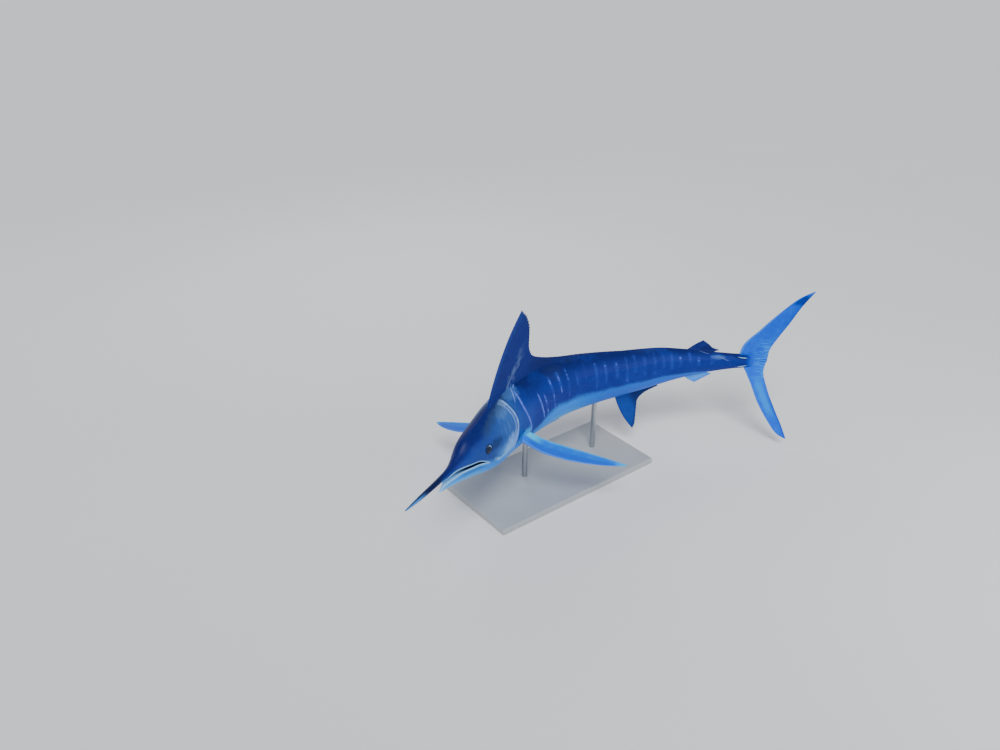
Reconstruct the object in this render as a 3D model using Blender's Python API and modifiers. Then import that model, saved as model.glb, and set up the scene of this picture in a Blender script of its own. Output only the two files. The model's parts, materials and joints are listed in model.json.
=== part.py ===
"""Striped marlin as a still, life-size display model on a plain stand. Metres, +Z up.

The fish heads towards -X, bent to its left, and its left side faces -Y. A station is a share of the body
length, counted from the tip of the lower jaw (0) to the fork of the tail (1). Places beside the spine are
shares of the body length too: side is positive on the fish's left, height is positive towards its back.
The origin is the middle of the stand's underside.
"""
import math

import bmesh
import bpy
import numpy as np
from mathutils import Matrix, Vector

# Driving dimensions, in metres
BODY_LENGTH = 2.0
SWIM_HEIGHT = 0.425
SPINE_MIDDLE_X = 0.080
SPINE_MIDDLE_Y = 0.070
GAP = 0.0003
BASE_LENGTH = 0.92
BASE_WIDTH = 0.44
BASE_THICKNESS = 0.030
BASE_BEVEL = 0.006
ROD_SPARE = 0.030
ROD_RADIUS = 0.013
EYE_RADIUS = 0.025
EYE_DEPTH = 0.013
EYE_SUNK = 0.0085
PECTORAL_LENGTH = 0.455

# Shape of the spine: (station, bend in radians per body length), and the lean of the tail's top
SPINE_MIDDLE = 0.45
BEND = [(0.20, 0.0), (0.24, -1.35), (0.36, -1.70), (0.48, -2.75), (0.62, -0.80), (0.78, -0.50), (0.94, -3.10)]
TAIL_TWIST = math.radians(-9.8)
TWIST_END = 0.97

# Outline of the body: (station, share of the body length)
BACK = [(-0.115, -0.0004), (-0.060, 0.0000), (0.0, 0.0010), (0.04, 0.0048), (0.07, 0.0172), (0.10, 0.0375),
        (0.16, 0.0530), (0.22, 0.0675), (0.28, 0.0735), (0.36, 0.0750), (0.50, 0.0665), (0.62, 0.0560),
        (0.72, 0.0500), (0.80, 0.0365), (0.88, 0.0220), (0.93, 0.0170), (0.97, 0.0165)]
BELLY = [(0.0, -0.0332), (0.05, -0.0430), (0.10, -0.0560), (0.16, -0.0765), (0.21, -0.0865), (0.28, -0.0855),
         (0.36, -0.0810), (0.50, -0.0725), (0.65, -0.0585), (0.80, -0.0345), (0.88, -0.0255), (0.93, -0.0200),
         (0.97, -0.0165)]
SIDE = [(-0.115, 0.0014), (-0.060, 0.0052), (0.0, 0.0062), (0.05, 0.0140), (0.10, 0.0280), (0.16, 0.0378),
        (0.22, 0.0440), (0.30, 0.0465), (0.42, 0.0445), (0.60, 0.0365), (0.75, 0.0245), (0.88, 0.0140),
        (0.93, 0.0115), (0.97, 0.0045)]
UPPER_LIP = [(-0.115, -0.0030), (-0.060, -0.0078), (0.0, -0.0102), (0.05, -0.0070), (0.10, -0.0108),
             (0.15, -0.0375)]
LOWER_LIP = [(0.0, -0.0300), (0.03, -0.0197), (0.06, -0.0147), (0.10, -0.0181), (0.135, -0.0292),
             (0.15, -0.0375)]
ROUNDNESS = 0.90
RIDGE = 0.40
JAW_TIP_WIDTH = 0.35
RING_POINTS = 28

# Where one node ends and the next begins
BILL_TIP = -0.115
BILL_ROOT = 0.0
MOUTH_CORNER = 0.15
JAW_BLEND = 0.05
GILL_TOP = 0.232
GILL_REACH = 0.028
GILL_THROAT = 0.214
GILL_STEP = 0.0022
GILL_SETTLED = 0.275
TRUNK_JOIN = 0.45
STOCK_JOIN = 0.72
STOCK_END = 0.968

# Eyes and nostrils: station and height of the centre
EYE_PLACE = (0.139, 0.0015)
NOSTRIL_PLACES = [(0.113, 0.0085), (0.119, 0.0095)]
NOSTRIL_SIZE = (0.0045, 0.0022, 0.0016)

# Median fins: (share of the base, station, height) along the free edge, front to rear
FIN_SUNK = 0.006
FIRST_DORSAL_BASE = (0.188, 0.610)
FIRST_DORSAL_EDGE = [(0.0, 0.327, 0.2375), (0.05, 0.346, 0.2190), (0.14, 0.3565, 0.1850),
                     (0.26, 0.3545, 0.1450), (0.36, 0.362, 0.1200), (0.46, 0.392, 0.1010),
                     (0.62, 0.456, 0.0810), (0.76, 0.515, 0.0710), (1.0, 0.618, 0.0569)]
SECOND_DORSAL_BASE = (0.795, 0.852)
SECOND_DORSAL_EDGE = [(0.0, 0.841, 0.0560), (0.4, 0.856, 0.0440), (0.7, 0.866, 0.0345), (1.0, 0.884, 0.0275)]
FIRST_ANAL_BASE = (0.612, 0.716)
FIRST_ANAL_EDGE = [(0.0, 0.667, -0.1640), (0.10, 0.6725, -0.1500), (0.25, 0.6735, -0.1200),
                   (0.45, 0.6745, -0.0880), (0.65, 0.690, -0.0680), (1.0, 0.728, -0.0520)]
SECOND_ANAL_BASE = (0.792, 0.840)
SECOND_ANAL_EDGE = [(0.0, 0.824, -0.0535), (0.5, 0.843, -0.0450), (1.0, 0.866, -0.0340)]

# Caudal fin: the edges of its two lobes as (height above or below the middle, station)
CAUDAL_REACH = 0.190
CAUDAL_UPPER_LEADING = [(0.0, 0.930), (0.034, 0.9374), (0.079, 0.9746), (0.126, 1.0131), (0.168, 1.0498),
                        (0.190, 1.0775)]
CAUDAL_UPPER_TRAILING = [(0.0, 1.0000), (0.028, 1.0030), (0.063, 1.0180), (0.100, 1.0368), (0.150, 1.0590),
                         (0.190, 1.0805)]
CAUDAL_LOWER_LEADING = [(0.0, 0.936), (0.020, 0.9470), (0.058, 0.9668), (0.1065, 0.9906), (0.153, 1.0236),
                        (0.184, 1.0557), (0.190, 1.0760)]
CAUDAL_LOWER_TRAILING = [(0.0, 0.9985), (0.022, 0.9960), (0.067, 1.0103), (0.116, 1.0357), (0.157, 1.0613),
                         (0.190, 1.0805)]

# Pectoral fins: middle of the root, and the fin's direction as shares backwards, outwards and upwards
PECTORAL_ROOT = (0.286, -0.0405)
PECTORAL_ROOT_DEPTH = 0.75
PECTORAL_LEFT_DIRECTION = (0.42, 0.87, -0.24)
PECTORAL_RIGHT_DIRECTION = (0.20, 0.90, -0.385)
# Their edges: (share of the length, metres behind the middle of the root)
PECTORAL_LEADING = [(0.0, -0.044), (0.09, -0.0615), (0.25, -0.0830), (0.40, -0.0835), (0.57, -0.0730),
                    (0.75, -0.0520), (0.90, -0.0260), (1.0, -0.0030)]
PECTORAL_TRAILING = [(0.0, 0.032), (0.10, 0.0220), (0.20, 0.0100), (0.32, 0.0060), (0.65, 0.0070),
                     (0.85, 0.0050), (1.0, 0.0030)]

# Pelvic fins: they lie back along the belly beside its middle line, and come out of the skin by PELVIC_LIFT
PELVIC_START = 0.268
PELVIC_END = 0.445
PELVIC_SIDE = 0.0125
PELVIC_SUNK = 0.0060
PELVIC_LIFT = 0.0078
PELVIC_LIFT_LENGTH = 0.20

# Keels at the tail's root: front and rear stations, and their heights
KEEL_STATIONS = (0.915, 0.963)
KEEL_HEIGHTS = (0.0135, 0.0080)
KEEL_REACH = 0.0150
KEEL_HALF_THICKNESS = 0.0040

# Stand rods: stations that they hold
ROD_FRONT = 0.345
ROD_REAR = 0.560

# Colours: (red, green, blue), roughness
INDIGO_SKIN = ((0.030, 0.045, 0.120), 0.35)
SILVER_SKIN = ((0.350, 0.450, 0.560), 0.30)
BILL_HORN = ((0.045, 0.050, 0.080), 0.45)
SKY_FIN = ((0.180, 0.450, 0.800), 0.40)
DARK_FIN = ((0.015, 0.020, 0.060), 0.40)
EYE_GLOSS = ((0.010, 0.020, 0.040), 0.08)
STAND_PAINT = ((0.600, 0.600, 0.580), 0.50)
STAND_STEEL = ((0.450, 0.450, 0.460), 0.30)

SPINE_STATIONS = np.linspace(-0.2, 1.2, 701)


def smooth_line(points):
    """Return a function that runs smoothly through the points and never overshoots them."""
    x, y = np.array(points, float).T
    step = np.diff(x)
    slope = np.diff(y) / step
    product = slope[:-1] * slope[1:]
    total = np.where(product > 0, slope[:-1] + slope[1:], 1.0)
    inner = np.where(product > 0, 2 * product / total, 0.0)
    tangent = np.concatenate([slope[:1], inner, slope[-1:]])

    def line(value):
        i = np.clip(np.searchsorted(x, value) - 1, 0, len(step) - 1)
        t = np.clip((value - x[i]) / step[i], 0, 1)
        start = (1 + 2 * t) * (1 - t) ** 2 * y[i] + t * (1 - t) ** 2 * step[i] * tangent[i]
        end = t**2 * (3 - 2 * t) * y[i + 1] - t**2 * (1 - t) * step[i] * tangent[i + 1]
        return start + end

    return line


def smooth_step(value, low, high):
    t = np.clip((value - low) / (high - low), 0, 1)
    return t * t * (3 - 2 * t)


def spine_frames():
    """Return the spine's points and its left, up and backward directions at each of its stations."""
    step = SPINE_STATIONS[1] - SPINE_STATIONS[0]
    bend = np.interp(SPINE_STATIONS, *np.array(BEND).T)
    heading = np.cumsum(bend) * step
    heading -= np.interp(SPINE_MIDDLE, SPINE_STATIONS, heading)
    past_middle = np.clip((SPINE_STATIONS - SPINE_MIDDLE) / (TWIST_END - SPINE_MIDDLE), 0, 1)
    twist = TAIL_TWIST * past_middle**1.5
    zero = np.zeros_like(heading)
    back = np.stack([np.cos(heading), np.sin(heading), zero], 1)
    level_left = np.stack([np.sin(heading), -np.cos(heading), zero], 1)
    level_up = np.stack([zero, zero, zero + 1], 1)
    cosine, sine = np.cos(twist)[:, None], np.sin(twist)[:, None]
    left = level_left * cosine - level_up * sine
    up = level_up * cosine + level_left * sine
    points = np.zeros_like(back)
    points[1:] = np.cumsum((back[1:] + back[:-1]) / 2 * step * BODY_LENGTH, axis=0)
    middle = [np.interp(SPINE_MIDDLE, SPINE_STATIONS, points[:, i]) for i in range(3)]
    points += np.array([SPINE_MIDDLE_X, SPINE_MIDDLE_Y, SWIM_HEIGHT]) - middle
    return np.concatenate([points, left, up, back], 1)


FRAMES = spine_frames()
back_line = smooth_line(BACK)
belly_line = smooth_line(BELLY)
side_line = smooth_line(SIDE)
upper_lip = smooth_line(UPPER_LIP)
lower_lip = smooth_line(LOWER_LIP)


def frame_at(station):
    """Return the spine's point and its left, up and backward directions at a station."""
    row = np.array([np.interp(station, SPINE_STATIONS, FRAMES[:, i]) for i in range(12)])
    return row[:3], row[3:6], row[6:9], row[9:]


def at(station, side=0.0, height=0.0):
    """Return the point in metres at a station, so far to the left and up."""
    point, left, up, _ = frame_at(station)
    return point + (left * side + up * height) * BODY_LENGTH


def oval(top, bottom, half_width, angle):
    """Return side and height of a point on an oval with a ridged top; the angle starts at its top."""
    sine, cosine = math.sin(angle), math.cos(angle)
    power = ROUNDNESS + RIDGE * max(cosine, 0.0)
    side = half_width * math.copysign(abs(sine) ** power, sine)
    height = (top + bottom) / 2 + (top - bottom) / 2 * cosine
    return side, height


def skin_place(station, angle):
    return oval(back_line(station), belly_line(station), side_line(station), angle)


def skin(station, angle, shrink=0.0):
    """Return a point of the body's surface, drawn in towards the spine by a share."""
    side, height = skin_place(station, angle)
    middle = (back_line(station) + belly_line(station)) / 2
    return at(station, side * (1 - shrink), middle + (height - middle) * (1 - shrink))


def ring_angles(count):
    return [2 * math.pi * i / count for i in range(count)]


def cut_oval(top, bottom, half_width, lip, sign):
    """Return an oval cut flat at the lip's height; sign 1 keeps what is above it, -1 what is below."""
    middle, half = (top + bottom) / 2, (top - bottom) / 2
    meet = math.acos(max(-1.0, min(1.0, (lip - middle) / half)))
    edge_side, _ = oval(top, bottom, half_width, meet)
    places = []
    for angle in ring_angles(RING_POINTS):
        turn = min(angle, 2 * math.pi - angle)
        side, height = oval(top, bottom, half_width, turn)
        if sign > 0 and turn > meet:
            side, height = edge_side * (math.pi - turn) / (math.pi - meet), lip
        if sign < 0 and turn < meet:
            side, height = edge_side * turn / meet, lip
        places.append((side if angle <= math.pi else -side, height))
    return places


def upper_ring(station):
    """Return a ring of the bill and upper jaw: the head's oval, cut off at the upper lip."""
    lip = float(upper_lip(station))
    blend = float(smooth_step(station, BILL_ROOT, JAW_BLEND))
    bottom = lip * (1 - blend) + float(belly_line(station)) * blend
    places = cut_oval(back_line(station), bottom, side_line(station), lip, 1)
    return [at(station, side, height) for side, height in places]


def jaw_ring(station):
    """Return a ring of the lower jaw: the head's oval, cut off at the lower lip."""
    lip = float(lower_lip(station)) - GAP / BODY_LENGTH
    blend = float(smooth_step(station, BILL_ROOT, JAW_BLEND))
    top = lip * (1 - blend) + float(back_line(station)) * blend
    width = float(side_line(station)) * (JAW_TIP_WIDTH + (1 - JAW_TIP_WIDTH) * blend)
    places = cut_oval(top, belly_line(station), width, lip, -1)
    return [at(station, side, height) for side, height in places]


def corner_ring(station_behind):
    """Return the ring behind the mouth: the wall at its corner, and skin above it a little further back."""
    ring = []
    for angle in ring_angles(RING_POINTS):
        side, height = skin_place(MOUTH_CORNER, angle)
        if height < float(upper_lip(MOUTH_CORNER)):
            ring.append(at(MOUTH_CORNER, side, height))
        else:
            ring.append(skin(station_behind, angle))
    return ring


def gill_station(angle):
    """Return the station of the gill cover's rear edge at an angle round the body."""
    throat_share = (1 - math.cos(angle)) / 2
    return GILL_TOP + (GILL_THROAT - GILL_TOP) * throat_share + GILL_REACH * math.sin(angle) ** 2


def plain_ring(station, shrink=0.0):
    return [skin(station, angle, shrink) for angle in ring_angles(RING_POINTS)]


def gill_ring(share, start, offset=0.0, shrink=0.0):
    """Return a ring part of the way from a plain station to the gill cover's edge."""
    ring = []
    for angle in ring_angles(RING_POINTS):
        edge = GILL_TOP + (gill_station(angle) - GILL_TOP) * (1 - shrink) + offset
        station = start + (edge - start) * share
        ring.append(skin(station, angle, shrink))
    return ring


def make_material(name, colour, roughness):
    material = bpy.data.materials.new(name)
    material.use_nodes = True
    shader = material.node_tree.nodes["Principled BSDF"]
    shader.inputs["Base Color"].default_value = (*colour, 1.0)
    shader.inputs["Roughness"].default_value = roughness
    material.diffuse_color = (*colour, 1.0)
    return material


def make_object(name, points, faces, collection):
    """Return a new object with its faces pointing out and its rounded parts shaded smooth."""
    mesh = bpy.data.meshes.new(name)
    mesh.from_pydata([tuple(map(float, p)) for p in points], [], faces)
    form = bmesh.new()
    form.from_mesh(mesh)
    bmesh.ops.recalc_face_normals(form, faces=form.faces[:])
    form.to_mesh(mesh)
    form.free()
    mesh.shade_smooth()
    mesh.set_sharp_from_angle(angle=math.radians(35))
    node = bpy.data.objects.new(name, mesh)
    collection.objects.link(node)
    return node


def loft(name, rings, collection, front=None, rear=None):
    """Return a closed body through rings of equal count, with a fan of faces at each end."""
    count = len(rings[0])
    points = [p for ring in rings for p in ring]
    points.append(np.mean(rings[0], axis=0) if front is None else front)
    points.append(np.mean(rings[-1], axis=0) if rear is None else rear)
    first_middle, last_middle = len(points) - 2, len(points) - 1
    last = (len(rings) - 1) * count
    faces = []
    for i in range(count):
        j = (i + 1) % count
        faces.append((first_middle, j, i))
        faces.append((last_middle, last + i, last + j))
        for k in range(len(rings) - 1):
            here, there = k * count, (k + 1) * count
            faces.append((here + i, here + j, there + j))
            faces.append((here + i, there + j, there + i))
    return make_object(name, points, faces, collection)


def membrane(name, middle, normal, half_thickness, collection):
    """Return a thin fin from a grid of points, split into triangles alike on both faces."""
    columns, rows = middle.shape[:2]
    spread = normal * half_thickness[..., None]
    points = np.concatenate([(middle + spread).reshape(-1, 3), (middle - spread).reshape(-1, 3)])
    other = columns * rows
    faces = []
    for c in range(columns - 1):
        for r in range(rows - 1):
            a, b = c * rows + r, (c + 1) * rows + r
            for triangle in ((a, b, b + 1), (a, b + 1, a + 1)):
                faces.append(triangle)
                faces.append(tuple(other + i for i in reversed(triangle)))
    rim = [c * rows for c in range(columns)]
    rim += [(columns - 1) * rows + r for r in range(1, rows)]
    rim += [c * rows + rows - 1 for c in range(columns - 2, -1, -1)]
    rim += [r for r in range(rows - 2, 0, -1)]
    for i, here in enumerate(rim):
        there = rim[(i + 1) % len(rim)]
        faces.append((here, there, other + there))
        faces.append((here, other + there, other + here))
    return make_object(name, points, faces, collection)


def grow(source, distance, collection):
    """Return a copy of a node with its surface moved outwards, to cut its neighbours clear of it."""
    mesh = source.data.copy()
    form = bmesh.new()
    form.from_mesh(mesh)
    form.normal_update()
    moves = [v.normal * distance * min(v.calc_shell_factor(), 1.5) for v in form.verts]
    for vertex, move in zip(form.verts, moves):
        vertex.co += move
    form.to_mesh(mesh)
    form.free()
    cutter = bpy.data.objects.new(source.name + "_cutter", mesh)
    cutter.hide_render = True
    cutter.display_type = "WIRE"
    collection.objects.link(cutter)
    return cutter


def keep_largest(node):
    """Keep only the node's largest closed surface."""
    form = bmesh.new()
    form.from_mesh(node.data)
    left = set(form.faces)
    pieces = []
    while left:
        piece = {left.pop()}
        edge_of_piece = list(piece)
        while edge_of_piece:
            face = edge_of_piece.pop()
            for edge in face.edges:
                fresh = [f for f in edge.link_faces if f in left]
                left.difference_update(fresh)
                piece.update(fresh)
                edge_of_piece.extend(fresh)
        pieces.append(piece)
    largest = max(pieces, key=lambda piece: sum(f.calc_area() for f in piece))
    scrap = [f for piece in pieces if piece is not largest for f in piece]
    bmesh.ops.delete(form, geom=scrap, context="FACES")
    form.to_mesh(node.data)
    form.free()


def apply_boolean(node, operand, operation):
    """Cut a node by an object or a collection of them, or join these to it."""
    modifier = node.modifiers.new("boolean", "BOOLEAN")
    modifier.operation = operation
    modifier.solver = "EXACT"
    if isinstance(operand, bpy.types.Collection):
        modifier.operand_type = "COLLECTION"
        modifier.collection = operand
    else:
        modifier.object = operand
    graph = bpy.context.evaluated_depsgraph_get()
    mesh = bpy.data.meshes.new_from_object(node.evaluated_get(graph))
    node.modifiers.clear()
    node.data = mesh
    keep_largest(node)


def cut_clear(node, neighbours, collection):
    """Cut a node back from its neighbours, so that their faces keep the gap."""
    for neighbour in neighbours:
        cutter = grow(neighbour, GAP, collection)
        apply_boolean(node, cutter, "DIFFERENCE")
        bpy.data.objects.remove(cutter)


def make_bill(parts):
    stations = np.linspace(BILL_TIP, BILL_ROOT - GAP / 2 / BODY_LENGTH, 8)
    return loft("bill", [upper_ring(s) for s in stations], parts)


def make_head(parts):
    """Head and upper jaw, from the bill's root to the rear edge of the gill cover."""
    mouth = [upper_ring(s) for s in np.linspace(BILL_ROOT + GAP / 2 / BODY_LENGTH, MOUTH_CORNER, 9)]
    behind = corner_ring(MOUTH_CORNER + 0.005)
    start = MOUTH_CORNER + 0.012
    cheek = [gill_ring(share, start) for share in (0.0, 0.33, 0.66, 1.0)]
    rear = at(GILL_TOP, 0.0, (back_line(GILL_TOP) + belly_line(GILL_TOP)) / 2)
    return loft("head", mouth + [behind] + cheek, parts, rear=rear)


def make_lower_jaw(parts):
    end = MOUTH_CORNER - GAP / BODY_LENGTH
    stations = [0.0, 0.008, 0.025, 0.05, 0.075, 0.10, 0.125, end]
    return loft("lower_jaw", [jaw_ring(s) for s in stations], parts)


def make_trunk(parts):
    """The two lengths of the trunk; the front one starts a step inside the gill cover."""
    offset = 1.6 * GAP / BODY_LENGTH
    step_share = GILL_STEP / (side_line(GILL_TOP) * BODY_LENGTH)
    rings = [gill_ring(1.0, GILL_SETTLED, offset, step_share)]
    rings += [gill_ring(0.8, GILL_SETTLED, offset * 0.8, step_share), gill_ring(0.5, GILL_SETTLED)]
    cut = GAP / 2 / BODY_LENGTH
    rings += [plain_ring(s) for s in np.linspace(GILL_SETTLED + 0.012, TRUNK_JOIN - cut, 7)]
    middle_height = (back_line(GILL_TOP) + belly_line(GILL_TOP)) / 2
    front = at(GILL_TOP + offset, 0.0, middle_height)
    trunk_front = loft("trunk_front", rings, parts, front=front)
    stations = np.linspace(TRUNK_JOIN + cut, STOCK_JOIN - cut, 10)
    trunk_rear = loft("trunk_rear", [plain_ring(s) for s in stations], parts)
    return trunk_front, trunk_rear


def keel(name, sign_side, sign_height, collection):
    """One fleshy keel: a lens that stands out of the side of the tail stock."""
    rings = []
    for share in np.linspace(0.02, 0.98, 8):
        station = KEEL_STATIONS[0] + (KEEL_STATIONS[1] - KEEL_STATIONS[0]) * share
        height = sign_height * (KEEL_HEIGHTS[0] + (KEEL_HEIGHTS[1] - KEEL_HEIGHTS[0]) * share)
        swell = math.sin(math.pi * share) ** 0.6
        root = sign_side * side_line(station) * 0.62
        ring = []
        for angle in ring_angles(8):
            out = KEEL_REACH / BODY_LENGTH * swell * math.cos(angle)
            rise = KEEL_HALF_THICKNESS / BODY_LENGTH * swell * math.sin(angle)
            ring.append(at(station, root + sign_side * (out + 0.002), height + rise))
        rings.append(ring)
    return loft(name, rings, collection)


def make_tail_stock(parts, cutters):
    """The tail stock with its four keels; also returns the plain pieces that it was joined from."""
    stations = [*np.linspace(STOCK_JOIN + GAP / 2 / BODY_LENGTH, 0.90, 7), 0.92, 0.94, 0.955, STOCK_END]
    rings = [plain_ring(s) for s in stations]
    stock = loft("tail_stock", rings, parts)
    keels = bpy.data.collections.new("keels")
    cutters.children.link(keels)
    for sign_side in (1, -1):
        for sign_height in (1, -1):
            keel("keel_guide", sign_side, sign_height, keels)
    apply_boolean(stock, keels, "UNION")
    return stock, [loft("stock_guide", rings, cutters), *keels.objects]


def skin_frame(station, height, sign_side):
    """Return the surface point at a station and height, and axes out of the skin, backwards and up."""
    def surface(s, h):
        top, bottom = back_line(s), belly_line(s)
        cosine = (h - (top + bottom) / 2) / ((top - bottom) / 2)
        side, _ = oval(top, bottom, side_line(s), math.acos(max(-1, min(1, cosine))))
        return Vector(at(s, sign_side * side, h))

    point = surface(station, height)
    along = (surface(station + 0.004, height) - surface(station - 0.004, height)).normalized()
    upward = (surface(station, height + 0.004) - surface(station, height - 0.004)).normalized()
    out = along.cross(upward) if sign_side > 0 else upward.cross(along)
    out.normalize()
    upward = (upward - along * upward.dot(along)).normalized()
    return point, along, upward, out


def ellipsoid(name, centre, axes, radii, segments, rings, collection):
    """Return an ellipsoid on three given axes."""
    mesh = bpy.data.meshes.new(name)
    form = bmesh.new()
    bmesh.ops.create_uvsphere(form, u_segments=segments, v_segments=rings, radius=1.0)
    turn = Matrix((axes[0] * radii[0], axes[1] * radii[1], axes[2] * radii[2])).transposed()
    for vertex in form.verts:
        vertex.co = centre + turn @ vertex.co
    form.normal_update()
    bmesh.ops.recalc_face_normals(form, faces=form.faces[:])
    form.to_mesh(mesh)
    form.free()
    mesh.shade_smooth()
    node = bpy.data.objects.new(name, mesh)
    collection.objects.link(node)
    return node


def make_eyes(head, parts, cutters):
    """Eyes as flattened balls in sockets, and two small nostrils in front of each."""
    eyes = []
    for sign_side, side_name in ((1, "left"), (-1, "right")):
        point, along, upward, out = skin_frame(*EYE_PLACE, sign_side)
        centre = point - out * EYE_SUNK
        axes = (along, upward, out)
        radii = np.array([EYE_RADIUS, EYE_RADIUS, EYE_DEPTH])
        eyes.append(ellipsoid("eye_" + side_name, centre, axes, radii, 18, 12, parts))
        socket = ellipsoid("socket", centre, axes, radii + 1.6 * GAP, 18, 12, cutters)
        apply_boolean(head, socket, "DIFFERENCE")
        bpy.data.objects.remove(socket)
        for place in NOSTRIL_PLACES:
            point, along, upward, out = skin_frame(*place, sign_side)
            pit = ellipsoid("pit", point, (along, upward, out), NOSTRIL_SIZE, 8, 6, cutters)
            apply_boolean(head, pit, "DIFFERENCE")
            bpy.data.objects.remove(pit)
    return eyes


def ray_thickness(columns, rows, root, tip, ridge, leading):
    """Return half thicknesses of a fin: rays stand out as ridges, and the leading edge is the thickest."""
    table = np.zeros((columns, rows))
    for c in range(columns):
        forward = 1 - c / (columns - 1)
        for r in range(rows):
            outward = r / (rows - 1)
            plain = root + (tip - root) * outward
            stiff = (leading - root) * forward**4 * (1 - outward) ** 0.7
            crest = ridge * (1 - 0.6 * outward) if c % 2 == 1 and c < columns - 1 else 0.0
            table[c, r] = plain + stiff + crest
    return table


def median_fin(name, base, edge, rays, rows, sign, sizes, bow, collection):
    """Return a fin in the fish's middle plane; its rays lean back from the base to the free edge."""
    edge_station = smooth_line([(share, station) for share, station, _ in edge])
    edge_height = smooth_line([(share, height) for share, _, height in edge])
    root_line = back_line if sign > 0 else belly_line
    columns = 2 * rays + 1
    middle = np.zeros((columns, rows, 3))
    normal = np.zeros((columns, rows, 3))
    for c in range(columns):
        share = (c / (columns - 1)) ** 1.25
        root_station = base[0] + (base[1] - base[0]) * share
        root_height = float(root_line(root_station)) - sign * FIN_SUNK
        for r in range(rows):
            up_share = (r / (rows - 1)) ** 0.9
            swell = bow * 4 * up_share * (1 - up_share) * (1 - share) ** 2
            station = root_station + (float(edge_station(share)) - root_station) * up_share - swell
            height = root_height + (float(edge_height(share)) - root_height) * up_share + sign * swell * 0.5
            middle[c, r] = at(station, 0.0, height)
            normal[c, r] = frame_at(station)[1]
    return membrane(name, middle, normal, ray_thickness(columns, rows, *sizes), collection)


def blade(name, leading, trailing, normal, rays, rows, sizes, collection):
    """Return a fin whose rays run from its root to its tip, between a leading and a trailing edge."""
    columns = 2 * rays + 1
    middle = np.zeros((columns, rows, 3))
    normals = np.zeros((columns, rows, 3))
    for r in range(rows):
        outward = r / (rows - 1)
        front, rear = leading(outward), trailing(outward)
        for c in range(columns):
            middle[c, r] = front + (rear - front) * c / (columns - 1)
            normals[c, r] = normal(outward)
    return membrane(name, middle, normals, ray_thickness(columns, rows, *sizes), collection)


def make_caudal(sign, name, edges, parts):
    """One lobe of the tail fin; the two lobes meet at the fork."""
    leading_line, trailing_line = (smooth_line(edge) for edge in edges)

    def place(line, share):
        height = max(CAUDAL_REACH * share, GAP / 2 / BODY_LENGTH)
        return at(float(line(CAUDAL_REACH * share)), 0.0, sign * height)

    def normal(share):
        return frame_at(1.0)[1]

    return blade(name, lambda v: place(leading_line, v), lambda v: place(trailing_line, v), normal, 8, 14,
                 (0.0055, 0.0008, 0.0009, 0.0085), parts)


def make_pectoral(sign, direction, name, parts):
    """A long, narrow pectoral fin, stiff along its leading edge."""
    station, height = PECTORAL_ROOT
    point, left, up, back = frame_at(station)
    root_side = PECTORAL_ROOT_DEPTH * side_line(station)
    root = at(station, sign * root_side, height)
    span = direction[0] * back + sign * direction[1] * left + direction[2] * up
    span /= np.linalg.norm(span)
    chordwise = back - span * np.dot(back, span)
    chordwise /= np.linalg.norm(chordwise)
    flat = np.cross(span, chordwise)
    full_length = PECTORAL_LENGTH + (1 - PECTORAL_ROOT_DEPTH) * side_line(station) * BODY_LENGTH

    def place(line, share):
        return root + span * full_length * share + chordwise * float(line(share))

    def normal(share):
        return flat

    leading_line, trailing_line = smooth_line(PECTORAL_LEADING), smooth_line(PECTORAL_TRAILING)
    return blade(name, lambda v: place(leading_line, v), lambda v: place(trailing_line, v), normal, 9, 12,
                 (0.0035, 0.0007, 0.0007, 0.0065), parts)


def make_pelvic(sign, name, parts):
    """A slender pelvic fin, folded back along the belly."""
    def centre(share):
        station = PELVIC_START + (PELVIC_END - PELVIC_START) * share
        side = PELVIC_SIDE * (1 + 0.25 * share)
        sine = min(1.0, side / side_line(station)) ** (1 / ROUNDNESS)
        _, height = skin_place(station, math.pi - math.asin(sine))
        drop = PELVIC_LIFT * min(1.0, share / PELVIC_LIFT_LENGTH) - PELVIC_SUNK
        return station, sign * side, height - drop

    def edge(share, offset):
        station, side, height = centre(share)
        half_chord = (0.0035 - 0.0026 * share) * offset
        return at(station, side + sign * half_chord, height)

    def normal(share):
        return frame_at(centre(share)[0])[2]

    return blade(name, lambda v: edge(v, 1), lambda v: edge(v, -1), normal, 2, 10,
                 (0.0022, 0.0010, 0.0006, 0.0026), parts)


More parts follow.
